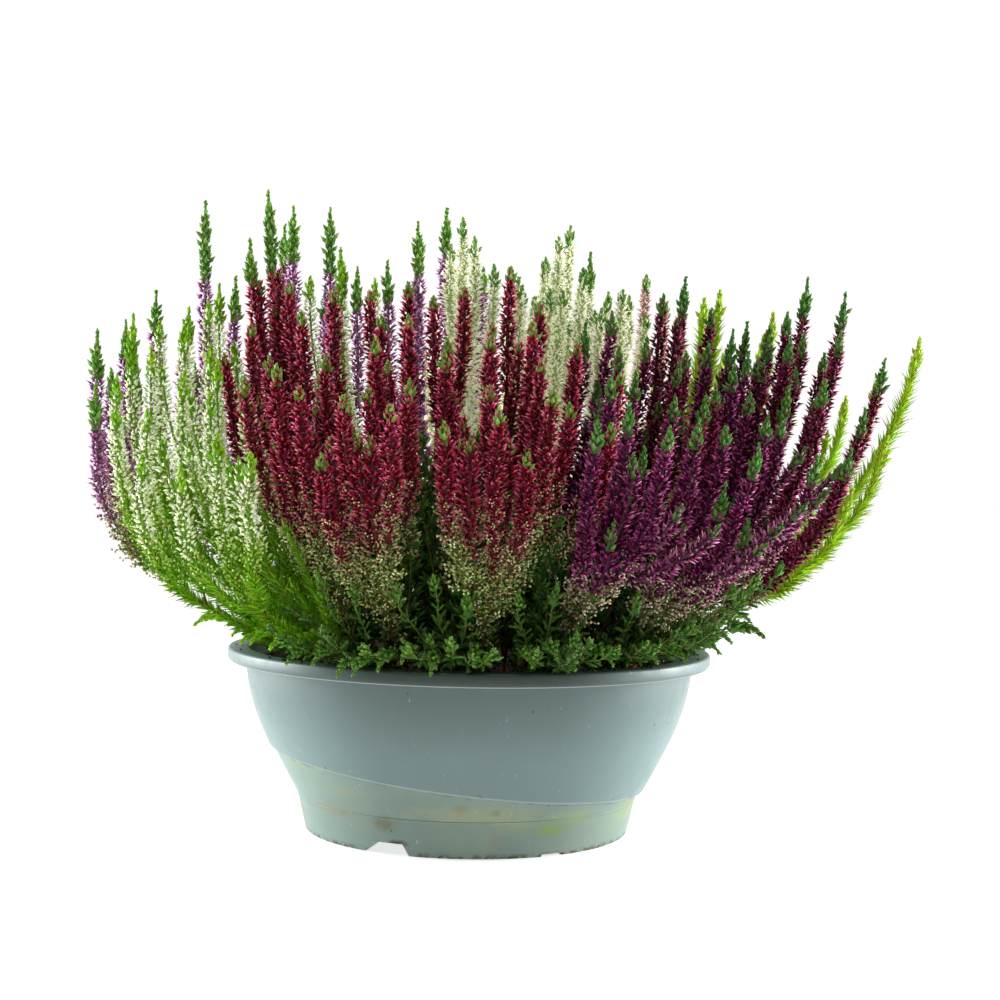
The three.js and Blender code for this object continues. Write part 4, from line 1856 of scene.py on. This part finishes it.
    def grow_buds(self) -> None:
        """Adds the spike of buds in six rows, ripe above and pale, small and few below."""
        habit, chance = self.habit, self.chance
        leafy, ripe, top = self.zones()
        seen, upright_deg = 56 * MM, 26
        step = habit.bud_step * (1.85 if self.plain else 1.0) * MM
        along = np.arange(top + 2 * MM, leafy + 0.2 * (ripe - leafy), -step)
        order = np.arange(len(along))
        age = np.clip((ripe - along) / (ripe - leafy), 0, 1)
        hidden = self.inner & (along < top - seen)
        keep = (chance.random(len(along)) > 0.7 * age) & ~(hidden & (order % 3 > 0))
        along, order, age, hidden = along[keep], order[keep], age[keep], hidden[keep]
        turn = np.radians(order * 120 + order // 3 % 2 * 60) + along * 25
        turn = turn + chance.normal(0, 0.33, len(along))
        full = np.interp(top - along, [0, 4 * MM, 14 * MM], [0.25, 0.75, 1.0])
        length = habit.bud[0] * MM * (0.7 + 0.3 * full) * (1 - 0.35 * age)
        length = length * chance.uniform(0.8, 1.15, len(along)) * (1.3 if self.plain else 1.0)
        width = habit.bud[1] * MM * (0.75 + 0.25 * full) * chance.uniform(0.85, 1.15, len(along))
        width = width * np.where(hidden, 2.0, 1.0)
        shape = self.shapes.curved_bud if habit.leaves is LIME else self.shapes.bud
        lean = upright_deg + (habit.bud_lean_deg - upright_deg) * full
        faded = age + self.pale + chance.normal(0, 0.08, len(along))
        out_by = full * chance.uniform(*habit.bud_reach, len(along)) * MM * (1 + 0.4 * age)
        self.set_round(shape, along, turn, lean, (length, width), faded, out_by)

    def grow_bud_leaves(self) -> None:
        """Adds the small leaves among the buds."""
        leafy, _, top = self.zones()
        step = self.habit.bud_leaf_step * MM * (1.8 if self.coarse else 1.0)
        along = np.arange(leafy, top, step)
        size = np.full(len(along), 3.1 * MM if self.coarse else 2.5 * MM)
        age = np.full(len(along), 0.4)
        turn = np.arange(len(along)) * GOLDEN_ANGLE
        self.set_round(self.shapes.leaf, along, turn, 36, (size, size), age)

    def grow_beads(self) -> None:
        """Adds the small side twigs with dry round buds, under the ripe ones."""
        leafy, ripe, _ = self.zones()
        step = 3.4 * MM if self.coarse else 1.3 * MM
        along = np.arange(ripe, leafy - 6 * MM, -step)
        along = along[along > 5 * MM]
        age = np.clip((ripe - along) / (ripe - leafy), 0, 1)
        turn = np.arange(len(along)) * GOLDEN_ANGLE + self.chance.uniform(0, 6)
        size = (6.0 + 2.4 * age) * MM * self.chance.uniform(0.85, 1.2, len(along))
        self.set_round(self.shapes.beads, along, turn, 50, (size, size), 0.45 + 0.55 * age)

    def grow_needles(self) -> None:
        """Adds single long leaves all round, from the root up into the lowest buds."""
        habit = self.habit
        leafy, ripe, _ = self.zones()
        end = leafy + 0.5 * (ripe - leafy) if leafy < ripe else self.line.length - 2.5 * MM
        step = habit.twig_step * MM * (1.8 if self.coarse else 1.0)
        along = np.arange(7 * MM, end, step)
        down = self.line.length - along
        size = habit.twig * MM * np.interp(down, [0, 12 * MM, 44 * MM], [0.34, 0.62, 1.0])
        size = size * self.chance.uniform(0.75, 1.1, len(along))
        turn = np.arange(len(along)) * GOLDEN_ANGLE
        width = np.full(len(along), 0.46 * habit.twig * MM)
        lean = np.interp(down, [0, 20 * MM], [14, habit.twig_lean_deg])
        # Painted shade: the leaves of low filler shoots are given older, darker colours, as shade
        # inside the plant.
        age = down / (280 * MM) + (0.24 if self.plain else 0.0)
        self.set_round(self.shapes.leaf, along, turn, lean, (size, width), age)

    def grow_twigs(self) -> None:
        """Adds the leafy twigs in pairs, from the root up into the lowest buds."""
        habit, chance, coarse = self.habit, self.chance, self.coarse
        small = self.inner or (self.plain and not self.flowers)
        leafy, ripe, _ = self.zones()
        top, bottom = leafy + 0.35 * (ripe - leafy), 7 * MM
        along = np.arange(top, bottom, -habit.twig_step * MM * (1.25 if coarse else 1.0))
        order = np.repeat(np.arange(len(along)), 2)
        along = np.repeat(along, 2) + chance.normal(0, 0.4 * MM, 2 * len(along))
        turn = order * math.radians(96) + np.tile([0.0, math.pi], len(order) // 2)
        turn = turn + chance.normal(0, 0.22, len(along))
        size = habit.twig * MM * chance.uniform(0.75, 1.15, len(along))
        coarser = 1.5 if small else 1.15 if coarse else 1.0
        size = size * coarser * np.clip(0.6 + (top - along) / (60 * MM), 0, 1)
        height = self.line.at(along)[0][:, 2]
        size = size * np.clip((height - 76 * MM) / (9 * MM), 0.25, 1)
        twig = self.shapes.stub if small else self.shapes.plain_twig if coarse else self.shapes.twig
        # Painted shade: twigs of fillers and of inner shoots are given older, darker colours, as
        # shade inside the plant.
        age = (top - along) / (90 * MM) + (0.6 if coarse else 0.1)
        width = 1.4 * size if small else size
        self.set_round(twig, along, turn, habit.twig_lean_deg, (size, width), age)


class Spray:
    """One spray: a leader, its side shoots, and lower shoots that fill the gaps.

    Attributes:
        heather: Which heather it is.
        name: Name of its solid in the frame.
        tips: Tips of its shoots, in millimetres, the leader's first.
        shapes: The shapes it is made of.
        planting: Where shoots run.
        chance: Chance.
        growth: What has grown so far.
        first: Place of the leader's tip.
        leader: The leader's line.
        fork: Distance from the root to where side shoots leave the leader.
    """

    def __init__(self, heather: Heather, number: int, tips: list[Tip], shapes: Shapes) -> None:
        """Draws the leader's line.

        Args:
            heather: Which heather it is.
            number: Its number among the sprays of that heather, from 1.
            tips: Tips of its shoots, in millimetres, the leader's first.
            shapes: The shapes it is made of.
        """
        self.heather = heather
        self.name = f"{heather.value}_spray_{number:02d}"
        self.tips = tips
        self.shapes = shapes
        self.planting = SWEPT if HABITS[heather].sweeps else Planting()
        self.chance = np.random.default_rng(100 * list(Heather).index(heather) + number)
        self.growth = Growth()
        self.first = np.array(tips[0][:3]) * MM
        self.leader = self.planting.leader(self.first, self.chance)
        self.fork = self.planting.forked_at(self.leader)

    def make(self, materials: dict[str, bpy.types.Material]) -> bpy.types.Object:
        """Grows the spray and ties it to the frame.

        Args:
            materials: The materials by name.

        Returns:
            The piece.
        """
        self.grow_own()
        self.grow_slanting()
        self.grow_fillers()
        self.grow_bushes()
        self.grow_sprigs()
        habit = HABITS[self.heather]
        buds = OTHER_BUDS.get(self.name, habit.buds)
        finishes = [materials[finish.name] for finish in (buds, habit.leaves, WOOD)]
        piece = self.growth.made(f"{self.name}_shoots", *finishes)
        return stand_in(piece, self.heather.value, self.name)

    def shoot(
        self, line: Line, start: float, green: float, radius: float = 0.6 * MM, **ways: float
    ) -> None:
        """Grows one shoot.

        Args:
            line: Its course.
            start: Distance from the spray's root to where the line starts.
            green: Length of its green tip.
            radius: Radius of its stem at the root.
            ways: What else there is to say of it, by the names that Shoot has for it.
        """
        given = (line, start, green, HABITS[self.heather], self.shapes, self.growth, self.chance)
        Shoot(*given, shift=self.chance.normal(0, 8), **ways).grow(radius)

    def grow_own(self) -> None:
        """Grows the leader and the side shoots whose tips are given."""
        usual = HABITS[self.heather].green
        for order, tip in enumerate(self.tips + LOW_TIPS.get(self.name, [])):
            green = (tip[3] if len(tip) > 3 else usual * self.chance.uniform(0.7, 1.4)) * MM
            inner = (tip[0] / 190) ** 2 + (tip[1] / 140) ** 2 < 0.42
            if order == 0:
                self.shoot(self.leader, 0.0, green, 1.0 * MM, inner=inner)
            else:
                end = np.array(tip[:3]) * MM
                line = self.planting.side_shoot(self.first, end, self.chance)
                self.shoot(line, self.fork, green, inner=inner)

    def grow_slanting(self) -> None:
        """Grows the lower shoots that run straight out."""
        for *end, green in SLANTING_TIPS.get(self.name, []):
            line = SLANTING.side_shoot(self.first, np.array(end) * MM, self.chance)
            self.shoot(line, self.fork, green * MM, plain=True, pale=0.2)

    def grow_fillers(self) -> None:
        """Grows the lower shoots that stand among the spray's own."""
        habit, chance = HABITS[self.heather], self.chance
        for _ in range(habit.fillers):
            line = Planting().side_shoot(self.first, self.filler_tip(), chance)
            green = habit.green * chance.uniform(0.5, 1.0) * MM
            self.shoot(line, self.fork, green, plain=True)

    def filler_tip(self) -> np.ndarray:
        """A tip for a lower shoot: among the spray's own tips, and under them.

        Returns:
            The tip's place.
        """
        chance = self.chance
        own = np.array([tip[:3] for tip in self.tips]) * MM
        tip = chance.dirichlet(np.ones(len(own))) @ own
        if self.heather is Heather.LEAFY:
            return tip + np.array([*chance.uniform(-13, 13, 2), chance.uniform(-6, 4)]) * MM
        tip = tip + np.array([*chance.uniform(-9, 9, 2), -chance.uniform(14, 62)]) * MM
        tip[2] = max(tip[2], min(own[0][2] - 10 * MM, (HABITS[self.heather].ripe + 16) * MM))
        pull = 0.82 if self.heather is Heather.PURPLE and tip[0] > 140 * MM else 0.93
        return tip * np.array([pull, pull, 1.0])

    def grow_bushes(self) -> None:
        """Grows the low leafy shoots at the leader's foot."""
        chance, leader = self.chance, self.leader
        for _ in range(HABITS[self.heather].bushes):
            root, _ = leader.at(chance.uniform(8, 16, 1) * MM)
            tip, _ = leader.at(np.minimum(chance.uniform(50, 118, 1) * MM, 0.8 * leader.length))
            tip = tip * [0.8, 0.8, 1.0]
            tip = tip + np.append(chance.uniform(-17, 17, 2), chance.uniform(-6, 6)) * MM
            line = self.planting.arch(root, (root + tip) / 2 + [0, 0, -4 * MM], tip)
            self.shoot(line, 0.0, 5 * MM, plain=True, flowers=False)

    def grow_sprigs(self) -> None:
        """Grows the sprigs that hang over the rim."""
        for tip in SPRIGS.get(self.name, []):
            end = np.array(tip) * MM
            root = np.append(0.72 * end[:2], 84 * MM)
            line = self.planting.arch(root, np.append(0.92 * end[:2], end[2] + 13 * MM), end)
            self.shoot(line, 0.0, 12 * MM, flowers=False)


# ---- The bowl and its soil ----------------------------------------------------------------


@dataclass
class Bowl:
    """The moulded bowl, after its solid in the frame, with its corners rounded.

    Attributes:
        sides: Vertices in a ring.
        height: Its height.
        rim_radius: Radius of the rim.
        rim_width: Width of the rim.
        wall: The curve of the outside of the wall, from the foot band to the rim.
        wall_thickness: Thickness of the wall.
        step_depth: How far the wall steps in below the slanting line.
        foot_radius: Radius that it stands on.
        foot_ring: Width of the ring that it stands on.
        pad_radius: Radius of the flat pad under the middle.
        channel: Height of the channel between ring and pad.
        floor: Height of the floor's upper side.
        notches: Turn, width, height, left and right flank of each of two notches in the foot,
            which come again at each third of the round.
        hole_radius: Radius of the drain holes.
        hole_turn_deg: Turn of the first of them.
    """

    sides: int = 144
    height: float = 86 * MM
    rim_radius: float = 115 * MM
    rim_width: float = 10 * MM
    wall: tuple[tuple[float, float], ...] = (
        (82.5 * MM, 17 * MM),
        (94.5 * MM, 39 * MM),
        (105 * MM, 57 * MM),
        (106.4 * MM, 78.8 * MM),
    )
    wall_thickness: float = 2 * MM
    step_depth: float = 1.6 * MM
    foot_radius: float = 77 * MM
    foot_ring: float = 3.5 * MM
    pad_radius: float = 52 * MM
    channel: float = 4 * MM
    floor: float = 6 * MM
    notches: tuple[tuple[float, ...], ...] = (
        (-27, 25 * MM, 5.4 * MM, 9 * MM, 3 * MM),
        (31, 12 * MM, 1.2 * MM, 0.5 * MM, 0.5 * MM),
    )
    hole_radius: float = 4 * MM
    hole_turn_deg: float = 31

    def wall_points(self, inset: float, steps: int) -> list[tuple[float, float]]:
        """Points of the wall's curve.

        Args:
            inset: How far inside the outer curve.
            steps: Number of stretches.

        Returns:
            Radius and height of each point, from the foot up.
        """
        curve = bezier(np.array(self.wall), np.linspace(0, 1, steps + 1))
        return [(radius - inset, height) for radius, height in curve]

    def profile(self) -> list[tuple[float, float]]:
        """The whole outline, from the pad underneath out, up, over the rim and down inside.

        Returns:
            Radius and height of each point.
        """
        foot, rim, top = self.foot_radius, self.rim_radius, self.height
        ring, mouth = foot - self.foot_ring, rim - self.rim_width
        sole, under, over = 0.8 * MM, 2.2 * MM, 1.2 * MM
        inside = self.wall_points(self.step_depth + self.wall_thickness, 8)
        return [
            (self.pad_radius, 0),
            (self.pad_radius + 2 * MM, self.channel),
            (ring - 1 * MM, self.channel),
            (ring, 0.4 * MM),
            (ring + 0.5 * MM, 0),
            *arc((foot - sole, sole), sole, -90, 0, 3),
            (foot + 1.6 * MM, 7 * MM),
            (foot + 3.4 * MM, 15 * MM),
            (foot + 3.7 * MM, 16.4 * MM),
            *arc((foot + 3.75 * MM, 16.9 * MM), 0.25 * MM, -60, 60, 3),
            *self.wall_points(0, 26)[1:],
            (self.wall[-1][0] + 0.5 * MM, RIM_BOTTOM - 0.3 * MM),
            (self.wall[-1][0] + 1.2 * MM, RIM_BOTTOM),
            *arc((rim - under, RIM_BOTTOM + under), under, -90, 0, 5),
            *arc((rim - over, top - over), over, 0, 90, 4),
            *arc((mouth + over, top - over), over, 90, 180, 4),
            *reversed(inside),
            (foot - self.wall_thickness, self.floor),
        ]

    def make(self, material: bpy.types.Material) -> bpy.types.Object:
        """Models the bowl and ties it to the frame.

        Args:
            material: Its material.

        Returns:
            The piece.
        """
        bowl = turned("bowl", self.profile(), self.sides)
        self.step_in(bowl)
        cutter = self.foot_cutter()
        apply_modifier(bowl, "BOOLEAN", object=cutter, operation="DIFFERENCE", solver="EXACT")
        bpy.data.objects.remove(cutter)
        pick_up(bowl)
        bpy.ops.object.shade_smooth_by_angle(angle=math.radians(32))
        wear(bowl.data, material)
        return stand_in(bowl, "pot", "pot")

    def step_in(self, bowl: bpy.types.Object) -> None:
        """Presses the wall in below the slanting line, and rounds the ledge that this leaves.

        Args:
            bowl: The bowl, whose wall still bulges all the way down.
        """
        ledge, skin = 1.0 * MM, 1.4 * MM
        low, high = 17.3 * MM, 62 * MM
        radii, heights = np.transpose(self.wall_points(0, 12))

        def over_line(at: Vector) -> float:
            """How far a place lies above the slanting line."""
            return at.z + at.x * STEP_SLOPE - STEP_HEIGHT

        def on_wall(at: Vector) -> bool:
            """Whether a place is on the outside of the wall, clear of foot and rim."""
            outside = math.hypot(at.x, at.y) > np.interp(at.z, heights, radii) - skin
            return outside and low < at.z < high

        pick_up(bowl)
        bpy.ops.object.mode_set(mode="EDIT")
        for drop in (0.0, ledge):
            pick_parts(bowl, "FACE", on_wall)
            bpy.ops.mesh.bisect(plane_co=(0, 0, STEP_HEIGHT - drop), plane_no=(STEP_SLOPE, 0, 1))
        pick_parts(bowl, "VERT", lambda at: on_wall(at) and over_line(at) < 0.01 * MM - ledge)
        pressed_radius = self.wall[0][0] + 5.8 * MM
        share = 1 - self.step_depth / pressed_radius
        bpy.ops.transform.resize(value=(share, share, 1), center_override=(0, 0, 0))
        pick_parts(bowl, "VERT", lambda at: on_wall(at) and abs(over_line(at)) < 0.02 * MM)
        bpy.ops.mesh.select_mode(type="EDGE")
        bpy.ops.mesh.bevel(offset=0.35 * MM, segments=2, affect="EDGES")
        bpy.ops.object.mode_set(mode="OBJECT")

    def foot_cutter(self) -> bpy.types.Object:
        """What is cut from the foot: six notches with sloping flanks, and three drain holes.

        Returns:
            One object for the Boolean.
        """
        cutters = []
        for third_deg in (0, 120, 240):
            for turn_deg, *sizes in self.notches:
                cutters.append(self.notch(turn_deg + third_deg, *sizes))
            put_down_all()
            turn = math.radians(self.hole_turn_deg + third_deg)
            out = (self.pad_radius + self.foot_radius) / 2
            bpy.ops.mesh.primitive_cylinder_add(
                vertices=24,
                radius=self.hole_radius,
                depth=3 * self.floor,
                location=(out * math.sin(turn), -out * math.cos(turn), 0),
            )
            cutters.append(settle(bpy.context.object, "hole"))
        pick_up(*cutters)
        bpy.ops.object.join()
        return bpy.context.object

    def notch(
        self, turn_deg: float, width: float, height: float, left: float, right: float
    ) -> bpy.types.Object:
        """Models what is cut out for one notch.

        Args:
            turn_deg: Its turn from the front.
            width: Its width at the ground.
            height: Its height.
            left: How far its left flank slopes in.
            right: How far its right flank does.

        Returns:
            The block, which reaches a little under the ground.
        """
        spare = 1 * MM
        put_down_all()
        bpy.ops.mesh.primitive_cube_add(size=1, location=(0, 0, 0))
        block = bpy.context.object
        block.scale = (width, 3 * self.foot_ring, height + spare)
        block.location = (0, self.foot_ring / 2 - self.foot_radius, (height - spare) / 2)
        settle(block, "notch")
        bpy.ops.object.mode_set(mode="EDIT")
        pick_parts(block, "VERT", lambda at: at.z > 0 and at.x < 0)
        bpy.ops.transform.translate(value=(left, 0, 0))
        pick_parts(block, "VERT", lambda at: at.z > 0 and at.x > 0)
        bpy.ops.transform.translate(value=(-right, 0, 0))
        bpy.ops.object.mode_set(mode="OBJECT")
        block.rotation_euler = (0, 0, math.radians(turn_deg))
        return settle(block, "notch")


@dataclass
class Soil:
    """The soil in the bowl, crumbly on top, with loose crumbs on it and on the rim.

    Attributes:
        bowl: The bowl that it fills.
        top: Height of its surface.
        clearance: Its distance from the bowl.
        crumbs: Number of loose crumbs on the soil.
        rim_crumbs: Number of crumbs on the rim.
        front_crumbs_deg: Turns of the larger crumbs on the front of the rim.
    """

    bowl: Bowl
    top: float = SOIL_TOP
    clearance: float = 0.3 * MM
    crumbs: int = 420
    rim_crumbs: int = 46
    front_crumbs_deg: tuple[float, ...] = (-51, -45, -39, -10, -5, 1, 23, 29, 35, 46, 61)

    def make(self, material: bpy.types.Material) -> list[bpy.types.Object]:
        """Models the soil and its crumbs and ties them to the frame.

        Args:
            material: Its material.

        Returns:
            The pieces.
        """
        inset = self.bowl.step_depth + self.bowl.wall_thickness + self.clearance
        wall = self.bowl.wall_points(inset, 6)
        bed = self.bed(wall)
        wear(bed.data, material)
        pieces = [stand_in(bed, "soil", "soil")]
        for piece in self.loose(wall[-1][0]):
            wear(piece.data, material)
            pieces.append(stand_in(piece, "soil"))
        return pieces

    def bed(self, wall: list[tuple[float, float]]) -> bpy.types.Object:
        """Models the soil that fills the bowl, with its surface raised into clumps.

        Args:
            wall: Radius and height of the points along its side, from below.

        Returns:
            The bed.
        """
        rings = [(wall[-1][0] * share, self.top) for share in np.linspace(1, 0.04, 26)[1:]]
        foot = (self.bowl.foot_radius - self.bowl.wall_thickness, self.bowl.floor + self.clearance)
        bed = turned("soil_bed", [foot, *wall, *rings], 96)
        clumps = bpy.data.textures.new("clumps", "CLOUDS")
        clumps.noise_scale = 5 * MM
        clumps.noise_depth = 3
        high = bed.vertex_groups.new(name="top")
        high.add([v.index for v in bed.data.vertices if v.co.z > self.top - 0.1 * MM], 1.0, "ADD")
        apply_modifier(
            bed, "DISPLACE", texture=clumps, texture_coords="GLOBAL", vertex_group="top",
            direction="Z", strength=5 * MM, mid_level=0.85,
        )
        pick_up(bed)
        bpy.ops.object.shade_smooth()
        return bed

    def loose(self, edge: float) -> list[bpy.types.Object]:
        """Scatters the crumbs on the soil and on the rim.

        Args:
            edge: Radius of the soil's surface.

        Returns:
            The pieces: on the soil, on the rim and on its front.
        """
        bowl, chance = self.bowl, np.random.default_rng(79)
        far = edge * 0.97 * np.sqrt(chance.random(self.crumbs))
        on_soil = self.scattered("soil_crumbs", far, self.top - 1.2 * MM, (0.9, 2.4), chance)
        ledge = bowl.rim_radius - bowl.rim_width
        far = chance.uniform(ledge + 1.0 * MM, ledge + 8.2 * MM, self.rim_crumbs)
        on_rim = self.scattered("rim_crumbs", far, bowl.height, (0.35, 1.0), chance)
        front = np.radians(np.array(self.front_crumbs_deg) - 90)
        far = bowl.rim_radius - chance.uniform(1.2, 3.2, len(front)) * MM
        at_front = self.scattered("front_crumbs", far, bowl.height, (0.7, 1.3), chance, front)
        return [on_soil, on_rim, at_front]

    @staticmethod
    def scattered(
        name: str,
        far: np.ndarray,
        height: float,
        sizes: tuple[float, float],
        chance: np.random.Generator,
        turn: np.ndarray | None = None,
    ) -> bpy.types.Object:
        """Scatters crumbs at given distances from the axis.

        Args:
            name: The piece's name.
            far: Distance of each crumb from the axis.
            height: Height of what they lie on.
            sizes: Least and greatest radius, in millimetres.
            chance: Chance.
            turn: Turn of each crumb from the X axis, where it isn't left to chance.

        Returns:
            The piece.
        """
        put_down_all()
        bpy.ops.mesh.primitive_ico_sphere_add(subdivisions=1, radius=1.0)
        model = settle(bpy.context.object, "crumb_model")
        crumb = Shape.taken_from(mark(model, Part.BUD))
        if turn is None:
            turn = chance.uniform(0, 2 * math.pi, len(far))
        size = chance.uniform(*sizes, len(far)) * MM
        places = np.stack([far * np.cos(turn), far * np.sin(turn), height + 0.35 * size], axis=1)
        growth = Growth()
        growth.set_out(
            crumb,
            places,
            unit(chance.normal(0, 1, (len(far), 3))),
            unit(chance.normal(0, 1, (len(far), 3))),
            size[:, None] * chance.uniform(0.6, 1.1, (len(far), 3)),
            np.zeros(len(far)),
            chance.random(len(far)),
        )
        piece = growth.made(name)
        piece.data.polygons.foreach_set("use_smooth", [False] * len(piece.data.polygons))
        return piece


@dataclass(frozen=True)
class DryLeaf:
    """A curled dry leaf that lies on the rim.

    Attributes:
        place: Its middle.
        size: Its width, depth and thickness before it curls.
        turn_deg: Its turn.
        tilt_deg: How far its front is lowered.
    """

    place: tuple[float, float, float] = (72 * MM, -85 * MM, 87.2 * MM)
    size: tuple[float, float, float] = (5.2 * MM, 3.6 * MM, 0.5 * MM)
    turn_deg: float = 35
    tilt_deg: float = 14

    def make(self, material: bpy.types.Material) -> bpy.types.Object:
        """Models the leaf and ties it to the frame.

        Args:
            material: Its material.

        Returns:
            The piece.
        """
        put_down_all()
        bpy.ops.mesh.primitive_uv_sphere_add(segments=10, ring_count=6, radius=0.5)
        leaf = bpy.context.object
        leaf.scale = self.size
        settle(leaf, "dry_leaf")
        bpy.ops.object.mode_set(mode="EDIT")
        for side in (-1, 1):
            pick_parts(leaf, "VERT", lambda at: at.x * side > 0.22 * self.size[0])
            bpy.ops.transform.translate(value=(-0.6 * side * MM, 0, 1.0 * MM))
        bpy.ops.object.mode_set(mode="OBJECT")
        leaf.rotation_euler = (math.radians(self.tilt_deg), 0, math.radians(self.turn_deg))
        leaf.location = self.place
        settle(leaf, "dry_leaf")
        bpy.ops.object.shade_smooth()
        wear(leaf.data, material)
        return stand_in(leaf, "soil")


# ---- The studio ---------------------------------------------------------------------------


@dataclass(frozen=True)
class Lamp:
    """A soft square light that faces the plant.

    Attributes:
        name: Its name.
        place: Where it stands.
        size: Length of its sides.
        power: Its power in watts.
    """

    name: str
    place: tuple[float, float, float]
    size: float
    power: float

    def make(self) -> None:
        """Adds the light."""
        put_down_all()
        bpy.ops.object.light_add(type="AREA", location=self.place)
        lamp = bpy.context.object
        lamp.name = self.name
        lamp.data.size = self.size
        lamp.data.energy = self.power
        aim = Vector((0, 0, 0.15)) - Vector(self.place)
        lamp.rotation_euler = aim.to_track_quat("-Z", "Y").to_euler()


@dataclass(frozen=True)
class Studio:
    """Pale floor, soft light and the camera.

    Attributes:
        camera_place: Where the camera stands.
        pitch_deg: How far it looks down.
        roll_deg: How far it is tipped to its left.
        lens: Focal length in millimetres on a 36 mm sensor.
        front_light: Brightness of the room on the camera's side.
        back_light: Its brightness on the far side.
        lamps: The lights.
    """

    camera_place: tuple[float, float, float] = (13.1 * MM, -857 * MM, 169.3 * MM)
    pitch_deg: float = 0.82
    roll_deg: float = 1.2
    lens: float = 64.2
    front_light: float = 0.055
    back_light: float = 1.03
    lamps: tuple[Lamp, ...] = (
        Lamp("light_left", (-1.3, 0.3, 0.3), 0.8, 31),
        Lamp("light_right", (1.3, 0.3, 0.3), 0.8, 31),
        Lamp("light_top", (0.0, -0.3, 1.5), 1.0, 9),
    )

    def make(self) -> None:
        """Sets up floor, lights, room and camera."""
        self.floor()
        for lamp in self.lamps:
            lamp.make()
        self.room()
        self.camera()
        bpy.context.scene.view_settings.view_transform = "Standard"

    @staticmethod
    def floor() -> None:
        """Lays a floor that shines a little, so that it is nearly as pale as the room."""
        put_down_all()
        bpy.ops.mesh.primitive_plane_add(size=30)
        floor = settle(bpy.context.object, "floor")
        paper, w, shader = new_surface(
            "floor_paper", 0.9, Emission_Color=(1, 1, 1, 1), Emission_Strength=0.68
        )
        shade = w.fade(w.noise(w.place(), 3.0, 2.0), 0.3, 0.7, 0.6, 0.64)
        pale = w.node("CombineColor", {0: shade, 1: shade, 2: shade}).outputs[0]
        w.give(shader.inputs["Base Color"], pale)
        wear(floor.data, paper)

    def room(self) -> None:
        """Makes the room white to the eye, and lit from the far side."""
        world = bpy.data.worlds.new("studio")
        world.use_nodes = True
        w = Wiring(world.node_tree)
        ways = w.node("SeparateXYZ", {0: w.node("TexCoord").outputs["Generated"]})
        behind = w.fade(ways.outputs[1], -0.3, 0.6, self.front_light, self.back_light)
        seen = w.times(w.node("LightPath").outputs["Is Camera Ray"], self.back_light)
        background = world.node_tree.nodes["Background"]
        background.inputs["Color"].default_value = (1, 1, 1, 1)
        w.give(background.inputs["Strength"], w.most(behind, seen))
        bpy.context.scene.world = world

    def camera(self) -> None:
        """Adds the camera and makes it the scene's."""
        put_down_all()
        bpy.ops.object.camera_add()
        camera = bpy.context.object
        camera.name = "camera"
        camera.data.lens = self.lens
        camera.matrix_world = (
            Matrix.Translation(self.camera_place)
            @ Matrix.Rotation(math.radians(90 - self.pitch_deg), 4, "X")
            @ Matrix.Rotation(math.radians(self.roll_deg), 4, "Z")
        )
        bpy.context.scene.camera = camera


def all_materials(effects: Effects) -> dict[str, bpy.types.Material]:
    """Makes each finish of the heathers once.

    Args:
        effects: The shared effects.

    Returns:
        The materials by name.
    """
    finishes = {WOOD, *OTHER_BUDS.values()}
    for habit in HABITS.values():
        finishes |= {habit.buds, habit.leaves}
    ordered = sorted(finishes, key=lambda finish: finish.name)
    return {finish.name: finish.material(effects) for finish in ordered}


def main() -> None:
    """Builds the bowl, its soil and every spray, and the studio round them."""
    logging.basicConfig(level=logging.INFO, format="%(message)s")
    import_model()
    effects = Effects()
    materials = all_materials(effects)
    bowl = Bowl()
    pieces = [bowl.make(BowlFinish().material(effects))]
    pieces += Soil(bowl).make(SoilFinish().material(effects))
    dry = SoilFinish("dry_leaf", srgb(132, 66, 26), srgb(186, 116, 54))
    pieces.append(DryLeaf().make(dry.material(effects)))
    shapes = Shapes()
    for heather, sprays in SPRAYS.items():
        for number, tips in enumerate(sprays, start=1):
            pieces.append(Spray(heather, number, tips, shapes).make(materials))
    Studio().make()
    log.info("%d pieces, %d triangles", len(pieces), sum(triangles(piece) for piece in pieces))


if __name__ == "__main__":
    main()
